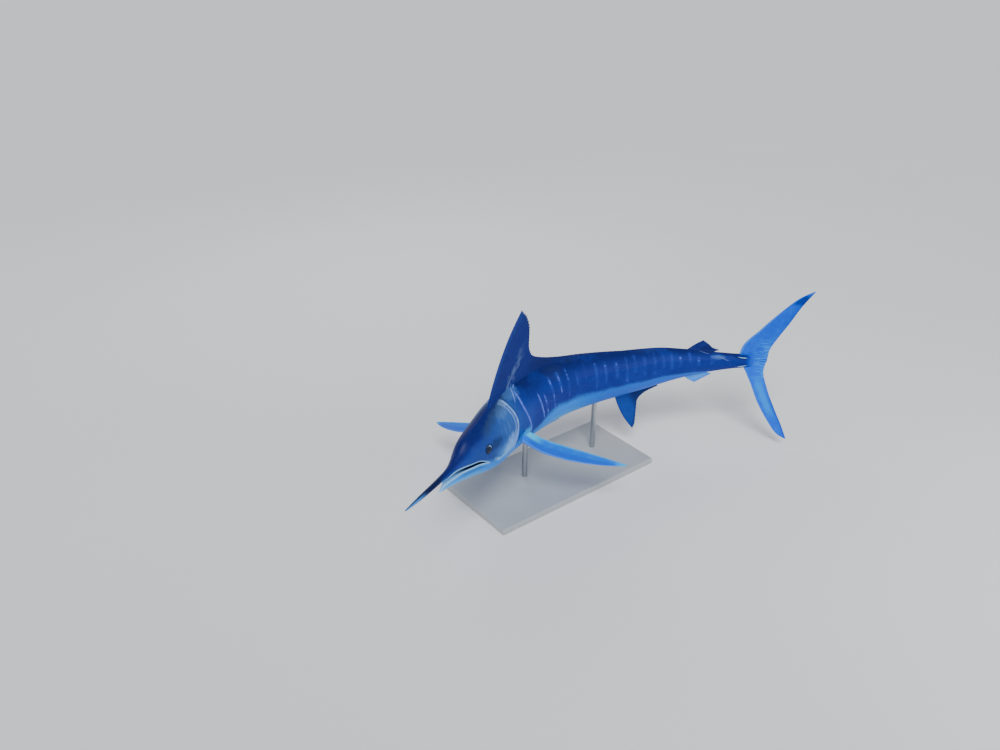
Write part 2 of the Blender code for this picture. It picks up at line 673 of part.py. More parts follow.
def make_fins(body, stock, parts):
    """All the fins, each cut clear of the pieces of the body that it grows from."""
    head, trunk_front, trunk_rear = body
    first_dorsal = median_fin("dorsal_fin_first", FIRST_DORSAL_BASE, FIRST_DORSAL_EDGE, 24, 8, 1,
                              (0.0028, 0.0007, 0.0010, 0.0060), 0.010, parts)
    cut_clear(first_dorsal, [head, trunk_front, trunk_rear], parts)
    second_dorsal = median_fin("dorsal_fin_second", SECOND_DORSAL_BASE, SECOND_DORSAL_EDGE, 6, 5, 1,
                               (0.0020, 0.0006, 0.0006, 0.0030), 0.003, parts)
    cut_clear(second_dorsal, stock, parts)
    first_anal = median_fin("anal_fin_first", FIRST_ANAL_BASE, FIRST_ANAL_EDGE, 9, 7, -1,
                            (0.0026, 0.0007, 0.0009, 0.0050), 0.006, parts)
    cut_clear(first_anal, [trunk_rear, *stock], parts)
    second_anal = median_fin("anal_fin_second", SECOND_ANAL_BASE, SECOND_ANAL_EDGE, 6, 5, -1,
                             (0.0020, 0.0006, 0.0006, 0.0030), 0.003, parts)
    cut_clear(second_anal, stock, parts)
    upper_edges = (CAUDAL_UPPER_LEADING, CAUDAL_UPPER_TRAILING)
    lower_edges = (CAUDAL_LOWER_LEADING, CAUDAL_LOWER_TRAILING)
    caudal = [make_caudal(1, "caudal_fin_upper", upper_edges, parts),
              make_caudal(-1, "caudal_fin_lower", lower_edges, parts)]
    for lobe in caudal:
        cut_clear(lobe, stock, parts)
    pectorals = [make_pectoral(1, PECTORAL_LEFT_DIRECTION, "pectoral_fin_left", parts),
                 make_pectoral(-1, PECTORAL_RIGHT_DIRECTION, "pectoral_fin_right", parts)]
    pelvics = [make_pelvic(1, "pelvic_fin_left", parts), make_pelvic(-1, "pelvic_fin_right", parts)]
    for fin in pectorals + pelvics:
        cut_clear(fin, [trunk_front, head], parts)
    return [first_dorsal, second_dorsal, first_anal], [second_anal, *caudal, *pectorals, *pelvics]


def make_stand(trunk, parts):
    """A flat base and two short rods, cut off where they meet the belly."""
    bpy.ops.mesh.primitive_cube_add(size=1.0, location=(0.0, 0.0, BASE_THICKNESS / 2))
    base = bpy.context.object
    base.name = "stand_base"
    base.data.transform(Matrix.Diagonal((BASE_LENGTH, BASE_WIDTH, BASE_THICKNESS, 1.0)))
    bevel = base.modifiers.new("rounded edges", "BEVEL")
    bevel.width = BASE_BEVEL
    bevel.segments = 3
    rods = []
    for name, station in (("stand_rod_front", ROD_FRONT), ("stand_rod_rear", ROD_REAR)):
        x, y, belly = at(station, 0.0, belly_line(station))
        top = belly + ROD_SPARE
        bottom = BASE_THICKNESS + GAP
        bpy.ops.mesh.primitive_cylinder_add(vertices=24, radius=ROD_RADIUS, depth=top - bottom,
                                            location=(x, y, (top + bottom) / 2))
        rod = bpy.context.object
        rod.name = name
        rods.append(rod)
    for node in [base, *rods]:
        for collection in list(node.users_collection):
            collection.objects.unlink(node)
        parts.objects.link(node)
    for rod in rods:
        rod.data.transform(rod.matrix_basis)
        rod.matrix_basis = Matrix.Identity(4)
        cut_clear(rod, trunk, parts)
    return base, rods


def give_material(nodes, finish):
    colour, roughness = finish
    for node in nodes:
        node.data.materials.clear()
        node.data.materials.append(make_material(node.name + "_finish", colour, roughness))


def main():
    for item in list(bpy.data.objects):
        bpy.data.objects.remove(item, do_unlink=True)
    parts = bpy.data.collections.new("striped_marlin")
    cutters = bpy.data.collections.new("cutters")
    bpy.context.scene.collection.children.link(parts)
    bpy.context.scene.collection.children.link(cutters)
    bill = make_bill(parts)
    head = make_head(parts)
    jaw = make_lower_jaw(parts)
    trunk = make_trunk(parts)
    stock, stock_pieces = make_tail_stock(parts, cutters)
    dark_fins, pale_fins = make_fins((head, *trunk), stock_pieces, parts)
    for piece in stock_pieces:
        bpy.data.objects.remove(piece)
    eyes = make_eyes(head, parts, cutters)
    base, rods = make_stand(trunk, parts)
    give_material([bill], BILL_HORN)
    give_material([head, *trunk, stock], INDIGO_SKIN)
    give_material([jaw], SILVER_SKIN)
    give_material(dark_fins, DARK_FIN)
    give_material(pale_fins, SKY_FIN)
    give_material(eyes, EYE_GLOSS)
    give_material([base], STAND_PAINT)
    give_material(rods, STAND_STEEL)


main()
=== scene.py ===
# %% [markdown]
# # A striped marlin as a life-size display model
#
# The solids of the model come ready from the frame: a marlin in six lengths of body and ten fins, two eyes
# and a stand. This lesson dresses them. One fine skin takes the place of the faceted lengths of the body,
# so that no joint between them shows, the fins become thin membranes with their own rays, and every surface
# gets the finish of the real thing. Nothing is moved: each new piece is worked out from the same few
# dimensions as the solids, in metres, with the fish heading towards -X and the floor at zero.

# %% Load the solids
import json
import math

import bmesh
import bpy
import numpy as np
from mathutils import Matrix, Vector

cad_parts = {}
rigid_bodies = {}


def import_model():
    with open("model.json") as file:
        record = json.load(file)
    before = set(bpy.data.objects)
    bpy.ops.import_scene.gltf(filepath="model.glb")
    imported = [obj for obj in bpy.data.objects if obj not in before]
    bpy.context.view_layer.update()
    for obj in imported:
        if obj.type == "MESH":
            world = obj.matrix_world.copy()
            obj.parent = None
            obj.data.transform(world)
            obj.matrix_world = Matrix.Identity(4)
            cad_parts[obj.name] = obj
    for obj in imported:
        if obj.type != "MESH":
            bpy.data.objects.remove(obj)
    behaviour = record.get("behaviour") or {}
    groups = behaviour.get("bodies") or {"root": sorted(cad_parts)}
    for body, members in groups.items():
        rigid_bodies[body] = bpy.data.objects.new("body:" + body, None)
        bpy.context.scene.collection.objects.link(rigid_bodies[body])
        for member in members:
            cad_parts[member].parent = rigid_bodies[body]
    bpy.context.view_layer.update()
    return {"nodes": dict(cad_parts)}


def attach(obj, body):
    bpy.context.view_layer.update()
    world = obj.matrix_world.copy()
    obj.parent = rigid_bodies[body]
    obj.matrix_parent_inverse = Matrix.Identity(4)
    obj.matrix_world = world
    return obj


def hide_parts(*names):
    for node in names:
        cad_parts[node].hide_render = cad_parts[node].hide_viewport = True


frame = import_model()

# %% [markdown]
# ## The camera
#
# The fish is seen from in front of its left shoulder and from above, at an angle of about 29 degrees, by a
# fairly wide lens. Such a view could be set by eye, but here its place was worked out from the lengths of
# the bill, body and fins in the picture, so the values are plain ones. A camera at zero rotation looks
# straight down, so it is first tilted up and then turned to its heading.

# %% Camera
CAMERA_PLACE = (-2.3229, -2.6129, 2.4481)
CAMERA_HEADING = -37.607
CAMERA_ELEVATION = 28.574
LENS = 31.81
SENSOR_WIDTH = 36.0
# where the middle of the spine is
FISH_MIDDLE = (0.080, 0.070, 0.425)


def add_object(name, data):
    """Add an object that shows a mesh, a lamp or a camera to the scene."""
    thing = bpy.data.objects.new(name, data)
    bpy.context.scene.collection.objects.link(thing)
    return thing


camera_data = bpy.data.cameras.new("camera")
camera_data.lens = LENS
camera_data.sensor_width = SENSOR_WIDTH
camera_data.clip_end = 200.0
camera = add_object("camera", camera_data)
camera.location = CAMERA_PLACE
camera.rotation_euler = (math.radians(90 - CAMERA_ELEVATION), 0.0, math.radians(CAMERA_HEADING))
bpy.context.scene.camera = camera
print("camera", round(math.dist(CAMERA_PLACE, FISH_MIDDLE), 2), "m from the middle of the fish")

# %% [markdown]
# ## Colours and nodes
#
# Colours are easiest to choose as the hex values of a paint card, but a shader counts in linear light, so
# one function turns them. A second small function adds a node with its settings and its links, because a
# finish is a chain of many nodes and would otherwise fill the page. Most of the chain decides where a
# colour shows. An image could say that too, but fields of numbers stay sharp at any distance. A window is a
# field that turns on between two values of a number, a mask is a product of windows, and a finish lays
# colours through masks.


# %% Helpers for finishes
def linear(code):
    """Turn an sRGB hex colour into linear red, green, blue and a full alpha."""
    shares = [int(code[i:i + 2], 16) / 255 for i in (1, 3, 5)]
    return [c / 12.92 if c <= 0.04045 else ((c + 0.055) / 1.055) ** 2.4 for c in shares] + [1.0]


def fill(node, inputs):
    """Give a node's sockets, by name or number, plain values or links from other nodes' outputs."""
    for name, value in inputs.items():
        if isinstance(value, bpy.types.NodeSocket):
            node.id_data.links.new(value, node.inputs[name])
        else:
            node.inputs[name].default_value = value


def add(tree, kind, inputs=None, **settings):
    """Add a node with its settings, and fill its sockets."""
    node = tree.nodes.new("ShaderNode" + kind)
    for name, value in settings.items():
        setattr(node, name, value)
    fill(node, inputs or {})
    return node


def new_finish(name):
    """Return an empty material, its node tree, its shader and the place of each point in metres."""
    material = bpy.data.materials.new(name)
    material.use_nodes = True
    tree = material.node_tree
    return material, tree, tree.nodes["Principled BSDF"], add(tree, "TexCoord").outputs["Object"]


# %% Fields, masks and layers
def read(tree, value):
    """Turn the name of a number that the mesh stores into the output that reads it."""
    if not isinstance(value, str):
        return value
    node = tree.nodes.get(value) or add(tree, "Attribute", name=value, attribute_name=value)
    return node.outputs["Fac"]


def total(tree, *terms):
    """Add terms; a pair (value, weight) counts as their product."""
    whole = 0.0
    for term in terms:
        value, weight = term if isinstance(term, tuple) else (term, 1.0)
        sockets = {0: read(tree, value), 1: read(tree, weight), 2: whole}
        whole = add(tree, "Math", sockets, operation="MULTIPLY_ADD").outputs[0]
    return whole


def mask(tree, *factors):
    """Multiply factors; a window is (value, low, full), or (value, low, full, still full, high)."""
    steps = []
    for factor in factors:
        if isinstance(factor, tuple):
            value, *places = factor
            for low, full in zip(places[::3], places[1:3]):
                sockets = {"Value": read(tree, value), "From Min": low, "From Max": full}
                step = add(tree, "MapRange", sockets, interpolation_type="SMOOTHSTEP")
                steps.append(step.outputs["Result"])
        else:
            steps.append(read(tree, factor))
    product = steps[0]
    for step in steps[1:]:
        product = add(tree, "Math", {0: product, 1: step}, operation="MULTIPLY").outputs[0]
    return product


def layered(tree, base, layers):
    """Lay colours over a base colour, one by one; a row is a colour and the factors of its mask."""
    colour = linear(base)
    for code, *factors in layers:
        sockets = {0: mask(tree, *factors), 6: colour, 7: linear(code)}
        colour = add(tree, "Mix", sockets, data_type="RGBA").outputs[2]
    return colour


print("navy #12306f in linear light:", [round(c, 3) for c in linear("#12306f")[:3]])

# %% [markdown]
# ## Floor and light
#
# A museum model is lit softly, so that its gloss shows as broad gleams and not as points. A few lamps alone
# would leave the far floor dark, so the main light is a sun with a very wide disc, as soft as a clouded
# sky, and two wide lamps put their gleams along the flank and the back. A pale room all round fills the
# shadows. The floor is one wide, matt, pale plane with a faint unevenness, because a perfect one looks like
# paper.

# %% Studio
FLOOR_SIZE = 120.0
SUN_STRENGTH = 2.5
SUN_WIDTH = math.radians(28)
ROOM_STRENGTH = 0.40

floor_mesh = bpy.data.meshes.new("floor")
form = bmesh.new()
bmesh.ops.create_grid(form, x_segments=8, y_segments=8, size=FLOOR_SIZE / 2)
form.to_mesh(floor_mesh)
form.free()
floor = add_object("floor", floor_mesh)
floor_finish, tree, shader, spot = new_finish("matt_floor_paint")
cloud = add(tree, "TexNoise", {"Vector": spot, "Scale": 0.8, "Detail": 3.0}).outputs["Fac"]
floor_colour = layered(tree, "#eeeff1", [("#f2f3f4", cloud)])
fill(shader, {"Base Color": floor_colour, "Roughness": 0.85, "Specular IOR Level": 0.2})
floor_mesh.materials.append(floor_finish)

# name, kind, place, target, size in metres, strength
LAMPS = [
    ("wide_sun", "SUN", (-1.9, -2.4, 4.2), (0.0, 0.0, 0.4), SUN_WIDTH, SUN_STRENGTH),
    ("flank_lamp", "AREA", (1.6, -3.2, 1.6), (0.2, 0.0, 0.4), 1.6, 26.0),
    ("back_lamp", "AREA", (0.8, 3.2, 3.0), (0.0, 0.0, 0.4), 2.0, 24.0),
]
for name, kind, place, target, size, strength in LAMPS:
    lamp_data = bpy.data.lights.new(name, kind)
    lamp_data.energy = strength
    if kind == "SUN":
        lamp_data.angle = size
    else:
        lamp_data.size = size
    lamp = add_object(name, lamp_data)
    lamp.location = place
    lamp.rotation_euler = (Vector(target) - Vector(place)).to_track_quat("-Z", "Y").to_euler()
world = bpy.data.worlds.new("pale_room")
world.use_nodes = True
fill(world.node_tree.nodes["Background"], {"Color": linear("#e9edf2"), "Strength": ROOM_STRENGTH})
bpy.context.scene.world = world
print("floor", FLOOR_SIZE, "m wide,", len(LAMPS), "lamps")

# %% [markdown]
# ## The lines of the body
#
# A fish can be drawn from a few long lines: its back, its belly, its width seen from above, the two edges
# of its mouth, and the curve of its spine. Each is given here at a handful of stations, as a share of the
# length from the tip of the lower jaw (0) to the fork of the tail (1), and a smooth curve runs through them
# that never swings past them. Left and up turn with the spine, and lean over towards the tail.

# %% Driving dimensions
BODY_LENGTH = 2.0
SPINE_MIDDLE = 0.45
# how fast the heading turns, in radians for the whole length, at these stations
BEND = [(0.20, 0.0), (0.24, -1.35), (0.36, -1.70), (0.48, -2.75), (0.62, -0.80), (0.78, -0.50),
        (0.94, -3.10)]
TAIL_TWIST = math.radians(-9.8)
TWIST_END = 0.97
BACK = [(-0.115, -0.0004), (-0.060, 0.0000), (0.0, 0.0010), (0.04, 0.0048), (0.07, 0.0172),
        (0.10, 0.0375), (0.16, 0.0530), (0.22, 0.0675), (0.28, 0.0735), (0.36, 0.0750), (0.50, 0.0665),
        (0.62, 0.0560), (0.72, 0.0500), (0.80, 0.0365), (0.88, 0.0220), (0.93, 0.0170), (0.97, 0.0165)]
BELLY = [(0.0, -0.0332), (0.05, -0.0430), (0.10, -0.0560), (0.16, -0.0765), (0.21, -0.0865),
         (0.28, -0.0855), (0.36, -0.0810), (0.50, -0.0725), (0.65, -0.0585), (0.80, -0.0345),
         (0.88, -0.0255), (0.93, -0.0200), (0.97, -0.0165)]
SIDE = [(-0.115, 0.0014), (-0.060, 0.0052), (0.0, 0.0062), (0.05, 0.0140), (0.10, 0.0280),
        (0.16, 0.0378), (0.22, 0.0440), (0.30, 0.0465), (0.42, 0.0445), (0.60, 0.0365), (0.75, 0.0245),
        (0.88, 0.0140), (0.93, 0.0115), (0.97, 0.0045)]
UPPER_LIP = [(-0.115, -0.0030), (-0.060, -0.0078), (0.0, -0.0102), (0.05, -0.0070), (0.10, -0.0108),
             (0.15, -0.0375)]
LOWER_LIP = [(0.0, -0.0300), (0.03, -0.0197), (0.06, -0.0147), (0.10, -0.0181), (0.135, -0.0292),
             (0.15, -0.0375)]
ROUNDNESS = 0.90
RIDGE = 0.40
JAW_TIP_WIDTH = 0.35
BILL_TIP = -0.115
BILL_TIP_HEIGHT = -0.0017
JAW_TIP_HEIGHT = -0.0316
MOUTH_CORNER = 0.15
JAW_BLEND = 0.05
SPINE_STATIONS = np.linspace(-0.2, 1.2, 701)


def smooth_line(points):
    """Return a function that runs smoothly through the points and never overshoots them."""
    x, y = np.array(points, float).T
    step = np.diff(x)
    slope = np.diff(y) / step
    product = slope[:-1] * slope[1:]
    both = np.where(product > 0, slope[:-1] + slope[1:], 1.0)
    inner = np.where(product > 0, 2 * product / both, 0.0)
    tangent = np.concatenate([slope[:1], inner, slope[-1:]])

    def line(value):
        i = np.clip(np.searchsorted(x, value) - 1, 0, len(step) - 1)
        t = np.clip((value - x[i]) / step[i], 0, 1)
        start = (1 + 2 * t) * (1 - t) ** 2 * y[i] + t * (1 - t) ** 2 * step[i] * tangent[i]
        end = t**2 * (3 - 2 * t) * y[i + 1] - t**2 * (1 - t) * step[i] * tangent[i + 1]
        return start + end

    return line


def smooth_step(value, low, high):
    """Return 0 up to low and 1 from high on, with a soft slope between them."""
    t = np.clip((value - low) / (high - low), 0, 1)
    return t * t * (3 - 2 * t)


def plateau(value, low, full, still_full, high):
    """Return 1 from full to still_full, and softly less out to 0 at low and high."""
    return smooth_step(value, low, full) * (1 - smooth_step(value, still_full, high))


def hump(value, middle, width):
    """Return a soft bump that is 1 at its middle and dies away over its width."""
    return np.exp(-((value - middle) / width) ** 2)


back_line, belly_line, side_line = smooth_line(BACK), smooth_line(BELLY), smooth_line(SIDE)
upper_lip, lower_lip = smooth_line(UPPER_LIP), smooth_line(LOWER_LIP)
print("deepest body:", round(float(back_line(0.28) - belly_line(0.28)) * BODY_LENGTH, 3), "m")


# %% The spine
def spine_frames():
    """Return the spine's points and its left, up and backward directions at each of its stations."""
    step = SPINE_STATIONS[1] - SPINE_STATIONS[0]
    heading = np.cumsum(np.interp(SPINE_STATIONS, *np.array(BEND).T)) * step
    heading -= np.interp(SPINE_MIDDLE, SPINE_STATIONS, heading)
    past_middle = np.clip((SPINE_STATIONS - SPINE_MIDDLE) / (TWIST_END - SPINE_MIDDLE), 0, 1)
    twist = TAIL_TWIST * past_middle**1.5
    zero = np.zeros_like(heading)
    back = np.stack([np.cos(heading), np.sin(heading), zero], 1)
    level_left = np.stack([np.sin(heading), -np.cos(heading), zero], 1)
    level_up = np.stack([zero, zero, zero + 1], 1)
    cosine, sine = np.cos(twist)[:, None], np.sin(twist)[:, None]
    left = level_left * cosine - level_up * sine
    up = level_up * cosine + level_left * sine
    points = np.zeros_like(back)
    points[1:] = np.cumsum((back[1:] + back[:-1]) / 2 * step * BODY_LENGTH, axis=0)
    middle = [np.interp(SPINE_MIDDLE, SPINE_STATIONS, points[:, i]) for i in range(3)]
    points += np.array(FISH_MIDDLE) - middle
    return np.concatenate([points, left, up, back], 1)


FRAMES = spine_frames()


def frame_at(station):
    """Return the spine's points and its left, up and backward directions at one or many stations."""
    row = np.stack([np.interp(station, SPINE_STATIONS, FRAMES[:, i]) for i in range(12)], axis=-1)
    return row[..., 0:3], row[..., 3:6], row[..., 6:9], row[..., 9:12]


def at(station, side=0.0, height=0.0):
    """Return the points in metres at these stations, so far to the left and up."""
    station, side, height = np.broadcast_arrays(*[np.asarray(v, float) for v in (station, side, height)])
    point, left, up, _ = frame_at(station)
    return point + (left * side[..., None] + up * height[..., None]) * BODY_LENGTH


def oval(top, bottom, half_width, angle):
    """Return side and height on an oval with a ridged top; angle 0 is its top, a quarter turn its left."""
    sine, cosine = np.sin(angle), np.cos(angle)
    power = ROUNDNESS + RIDGE * np.maximum(cosine, 0)
    side = half_width * np.sign(sine) * np.abs(sine) ** power
    return side, (top + bottom) / 2 + (top - bottom) / 2 * cosine


print("tip of the bill at", np.round(at(BILL_TIP, 0.0, BILL_TIP_HEIGHT), 3))

# %% [markdown]
# ## Rows and columns of the skin
#
# A skin that is lofted over rings is easy to steer: every point knows its station and its place round the
# body, and those two numbers later carry the whole pattern. The rows lie about 2 to 5 mm apart, but closer
# at the tips of the jaws, round the eyes, along the edge of the gill cover and over the keels of the tail,
# where the forms are small. The columns crowd together in the band that holds the eyes.

# %% Row and column spacing
GILL_TOP = 0.232
GILL_REACH = 0.028
GILL_THROAT = 0.214
STOCK_END = 0.982
# station, and how far apart the rows lie there in millimetres
ROW_STEPS = [(-0.115, 0.6), (-0.109, 2.5), (-0.02, 3.2), (0.0, 0.8), (0.008, 1.8), (0.10, 2.0),
             (0.112, 1.2), (0.160, 1.2), (0.175, 2.5), (0.226, 2.0), (0.2302, 0.4), (0.2338, 0.4),
             (0.238, 2.0), (0.30, 4.0), (0.88, 5.0), (0.905, 2.0), (0.982, 1.5)]
UPPER_COLUMNS = 90
LOWER_COLUMNS = 34
ACROSS_MOUTH = 24
# shares of the way from the middle of the back to the lip where the columns crowd together
EYE_BAND = (0.42, 0.52, 0.80, 0.90)
corner_top, corner_bottom = float(back_line(MOUTH_CORNER)), float(belly_line(MOUTH_CORNER))
corner_height = float(upper_lip(MOUTH_CORNER))
CORNER_TURN = math.acos((2 * corner_height - corner_top - corner_bottom) / (corner_top - corner_bottom))


def spread(fine, density, steps=None):
    """Return places from the first to the last of the fine ones, closer together where they are denser."""
    count = np.concatenate([[0.0], np.cumsum((density[1:] + density[:-1]) / 2 * np.diff(fine))])
    steps = steps or int(round(count[-1]))
    return np.interp(np.linspace(0, count[-1], steps + 1), count, fine)


def spaced_rows(start, end):
    """Return stations from start to end, as far apart as the table of row steps says."""
    fine = np.linspace(start, end, 6000)
    return spread(fine, BODY_LENGTH / (np.interp(fine, *np.array(ROW_STEPS).T) * 0.001))


bill_rows = spaced_rows(BILL_TIP, 0.0)
mouth_rows = spaced_rows(0.0, MOUTH_CORNER)
body_rows = spaced_rows(MOUTH_CORNER, STOCK_END)[1:]
fine_shares = np.linspace(0, 1, 2001)
# three times as close in the band of the eyes
half_shares = spread(fine_shares, 1 + 2 * plateau(fine_shares, *EYE_BAND), UPPER_COLUMNS)
shares = np.concatenate([half_shares[::-1], -half_shares[1:]])
row_count = len(bill_rows) + len(mouth_rows) + len(body_rows)
print(row_count, "rows of", 2 * (UPPER_COLUMNS + LOWER_COLUMNS), "columns")

# %% [markdown]
# ## Rings with a mouth in them
#
# In front of the corner of the mouth a ring of the head falls into two: the bill and upper jaw, closed
# below by the palate, and the lower jaw, closed above by the floor of the mouth. Palate and floor meet at
# the corner, so the open mouth is a pocket in one closed skin and not a hole. Behind the corner a ring is
# whole. The rows there lean back and forth, so that one of them follows the edge of the gill cover.


# %% Rings
PALATE_VAULT = 0.0035
MOUTH_HOLLOW = 0.0030
BILL_TIP_LENGTH = 0.004
JAW_TIP_LENGTH = 0.010
LEAN_START = 0.168
LEAN_END = 0.300


def cut_oval(top, bottom, half_width, lip, angle, sign):
    """Return points on ovals cut flat at the lip; sign 1 keeps what is above it, -1 what is below."""
    middle, half = (top + bottom) / 2, (top - bottom) / 2
    meet = np.arccos(np.clip((lip - middle) / half, -1, 1))
    edge_side, _ = oval(top, bottom, half_width, meet)
    turn = np.abs(angle)
    side, height = oval(top, bottom, half_width, angle)
    if sign > 0:
        beyond, across = turn > meet, (math.pi - turn) / np.maximum(math.pi - meet, 1e-6)
    else:
        beyond, across = turn < meet, turn / np.maximum(meet, 1e-6)
    side = np.where(beyond, edge_side * across * np.sign(angle), side)
    return side, np.where(beyond, lip, height), np.where(beyond, across, 1.0), meet


def rounded(share):
    """Return the rise of a quarter circle: 0 at 0, and 1 from 1 on."""
    return np.sqrt(1 - (1 - np.clip(share, 0, 1)) ** 2)


def upper_jaw(station, angle):
    """Return side and height of points on the bill and upper jaw."""
    lip = upper_lip(station)
    blend = smooth_step(station, 0.0, JAW_BLEND)
    bottom = lip * (1 - blend) + belly_line(station) * blend
    top = back_line(station)
    side, height, across, meet = cut_oval(top, bottom, side_line(station), lip, angle, 1)
    vault = PALATE_VAULT * plateau(station, 0.02, 0.08, 0.125, MOUTH_CORNER)
    height = height + vault * (1 - across**2)
    shrink = rounded((station - BILL_TIP) / BILL_TIP_LENGTH + 0.02)
    middle = (top + lip) / 2
    return side * shrink, middle + (height - middle) * shrink, meet


def lower_jaw(station, angle):
    """Return side and height of points on the lower jaw."""
    lip = lower_lip(station)
    blend = smooth_step(station, 0.0, JAW_BLEND)
    top = lip * (1 - blend) + back_line(station) * blend
    bottom = belly_line(station)
    half_width = side_line(station) * (JAW_TIP_WIDTH + (1 - JAW_TIP_WIDTH) * blend)
    side, height, across, meet = cut_oval(top, bottom, half_width, lip, angle, -1)
    hollow = MOUTH_HOLLOW * plateau(station, 0.02, 0.06, 0.125, MOUTH_CORNER)
    height = height - hollow * (1 - across**2)
    shrink = rounded(station / JAW_TIP_LENGTH + 0.02)
    middle = (lip + bottom) / 2
    return side * shrink, middle + (height - middle) * shrink, meet


def gill_station(turn):
    """Return the station of the gill cover's rear edge at a turn from the middle of the back."""
    return GILL_TOP + (GILL_THROAT - GILL_TOP) * (1 - np.cos(turn)) / 2 + GILL_REACH * np.sin(turn) ** 2


def leaning_rows(base, angle):
    """Return stations of whole rings; the ring whose base is the gill cover's top follows its edge."""
    lean = plateau(base, LEAN_START, GILL_TOP, GILL_TOP, LEAN_END)
    return base + lean * (gill_station(np.abs(angle)) - GILL_TOP)


# %% Strips of the skin
UPPER_SKIN_END = math.radians(125)
LOWER_SKIN_START = math.radians(60)


def upper_edge(station):
    """Return the turn at which the outer skin of the upper jaw ends."""
    return np.minimum(upper_jaw(station, 0.0 * station)[2], UPPER_SKIN_END)


def lower_edge(station):
    """Return the turn at which the outer skin of the lower jaw begins."""
    return np.maximum(lower_jaw(station, 0.0 * station)[2], LOWER_SKIN_START)


strips = {}


def keep_strip(name, station, base, angle, side, height, inside):
    """Keep a grid of skin points with all that the finish needs to know about them."""
    arrays = np.broadcast_arrays(station, base, angle, side, height, float(inside))
    strips[name] = np.stack([a.astype(float) for a in arrays], axis=-1)


front = np.concatenate([bill_rows[:-1], mouth_rows])[:, None]
angle = upper_edge(front) * shares
keep_strip("upper", front, front, angle, *upper_jaw(front, angle)[:2], 0)
inner = np.linspace(1, -1, ACROSS_MOUTH + 1)[1:-1]
edge = upper_edge(front)
angle = (math.pi - (math.pi - edge) * np.abs(inner)) * np.where(inner < 0, -1.0, 1.0)
keep_strip("palate", front, front, angle, *upper_jaw(front, angle)[:2], 1)

chin = mouth_rows[:, None]
edge = lower_edge(chin)
round_chin = np.linspace(0, 2, 2 * LOWER_COLUMNS + 1)
right_half, left_half = edge + (math.pi - edge) * round_chin, edge + (math.pi - edge) * (2 - round_chin)
angle = np.where(round_chin <= 1, -right_half, left_half)
keep_strip("lower", chin, chin, angle, *lower_jaw(chin, angle)[:2], 0)
keep_strip("floor", chin, chin, edge * inner, *lower_jaw(chin, edge * inner)[:2], 1)

ring_angle = np.concatenate([CORNER_TURN * shares, angle[-1, 1:-1]])
leaning = leaning_rows(body_rows[:, None], ring_angle)
sides = oval(back_line(leaning), belly_line(leaning), side_line(leaning), ring_angle)
keep_strip("body", leaning, body_rows[:, None], ring_angle, *sides, 0)
for name, grid in strips.items():
    print(name, grid.shape[0], "rows of", grid.shape[1])

# %% [markdown]
# ## Sewing the strips together
#
# The strips share their edges: the palate hangs between the two upper lips, the floor lies between the two
# lower ones, and at the corner of the mouth all of them run into the first whole ring. The bill, the lower
# jaw and the tail end in a fan of narrow faces. Giving shared points one number from the start is safer
# than merging near ones afterwards, which could also weld the lips together.


# %% Faces of the skin
def quads(index):
    """Return the faces of a grid of point numbers."""
    a, b, c, d = index[:-1, :-1], index[:-1, 1:], index[1:, 1:], index[1:, :-1]
    return np.stack([a, b, c, d], axis=-1).reshape(-1, 4)


numbers, point_count = {}, 0
for name, grid in strips.items():
    count = grid.shape[0] * grid.shape[1]
    numbers[name] = np.arange(point_count, point_count + count).reshape(grid.shape[:2])
    point_count += count
upper, lower, body = numbers["upper"], numbers["lower"].copy(), numbers["body"]
lower[-1, 0], lower[-1, -1] = upper[-1, -1], upper[-1, 0]
palate = np.concatenate([upper[:, :1], numbers["palate"], upper[:, -1:]], axis=1)
mouth_floor = np.concatenate([lower[:, -1:], numbers["floor"], lower[:, :1]], axis=1)
mouth_floor[-1] = palate[-1]
corner_ring = np.concatenate([upper[-1], lower[-1, 1:-1]])
rings = np.concatenate([corner_ring[None], body])
rings = np.concatenate([rings, rings[:, :1]], axis=1)
faces = [quads(grid) for grid in (upper, palate, lower, mouth_floor, rings)]
skin_faces = np.concatenate(faces).tolist()
ends = [np.concatenate([upper[0], palate[0, -2:0:-1]]), np.concatenate([lower[0], mouth_floor[0, 1:-1]]),
        body[-1]]
for i, ring in enumerate(ends):
    skin_faces += [(point_count + i, int(ring[j - 1]), int(ring[j])) for j in range(len(ring))]

grid_values = np.concatenate([grid.reshape(-1, 6) for grid in strips.values()])
tip_values = [(BILL_TIP, BILL_TIP, 0.0, 0.0, BILL_TIP_HEIGHT, 0),
              (0.0, 0.0, math.pi, 0.0, JAW_TIP_HEIGHT, 0),
              (STOCK_END, STOCK_END, 0.0, 0.0, 0.0, 0)]
values = np.concatenate([grid_values, tip_values])
station, base, angle, side, height, inside = values.T
turn = np.abs(angle)
left_or_right = np.where(angle < 0, -1.0, 1.0)
print(len(values), "points and", len(skin_faces), "faces")

# %% [markdown]
# ## The keels and the root of the tail
#
# A marlin's tail stock carries two fleshy keels on each side, just in front of the fin. They could be
# separate pieces, but on the fish they are swellings of the same skin, so here the skin's own points are
# pushed sideways, most along the middle of each keel, with a soft hollow at its foot. Behind them the stock
# thins until it disappears between the two lobes of the fin.

# %% Keels
KEEL_STATIONS = (0.915, 0.963)
KEEL_HEIGHTS = (0.0135, 0.0080)
KEEL_REACH = 0.0150
KEEL_HALF_THICKNESS = 0.0034
KEEL_SHARPNESS = 2.6
# where the crest of a keel starts: at a share of the stock's half width and a little more
KEEL_START = (0.62, 0.002)
# shares of its width and height that the stock loses between the lobes of the tail
STOCK_NARROWING = 0.75
STOCK_LOWERING = 0.35
NARROWING_START = 0.955
LOWERING_START = 0.962

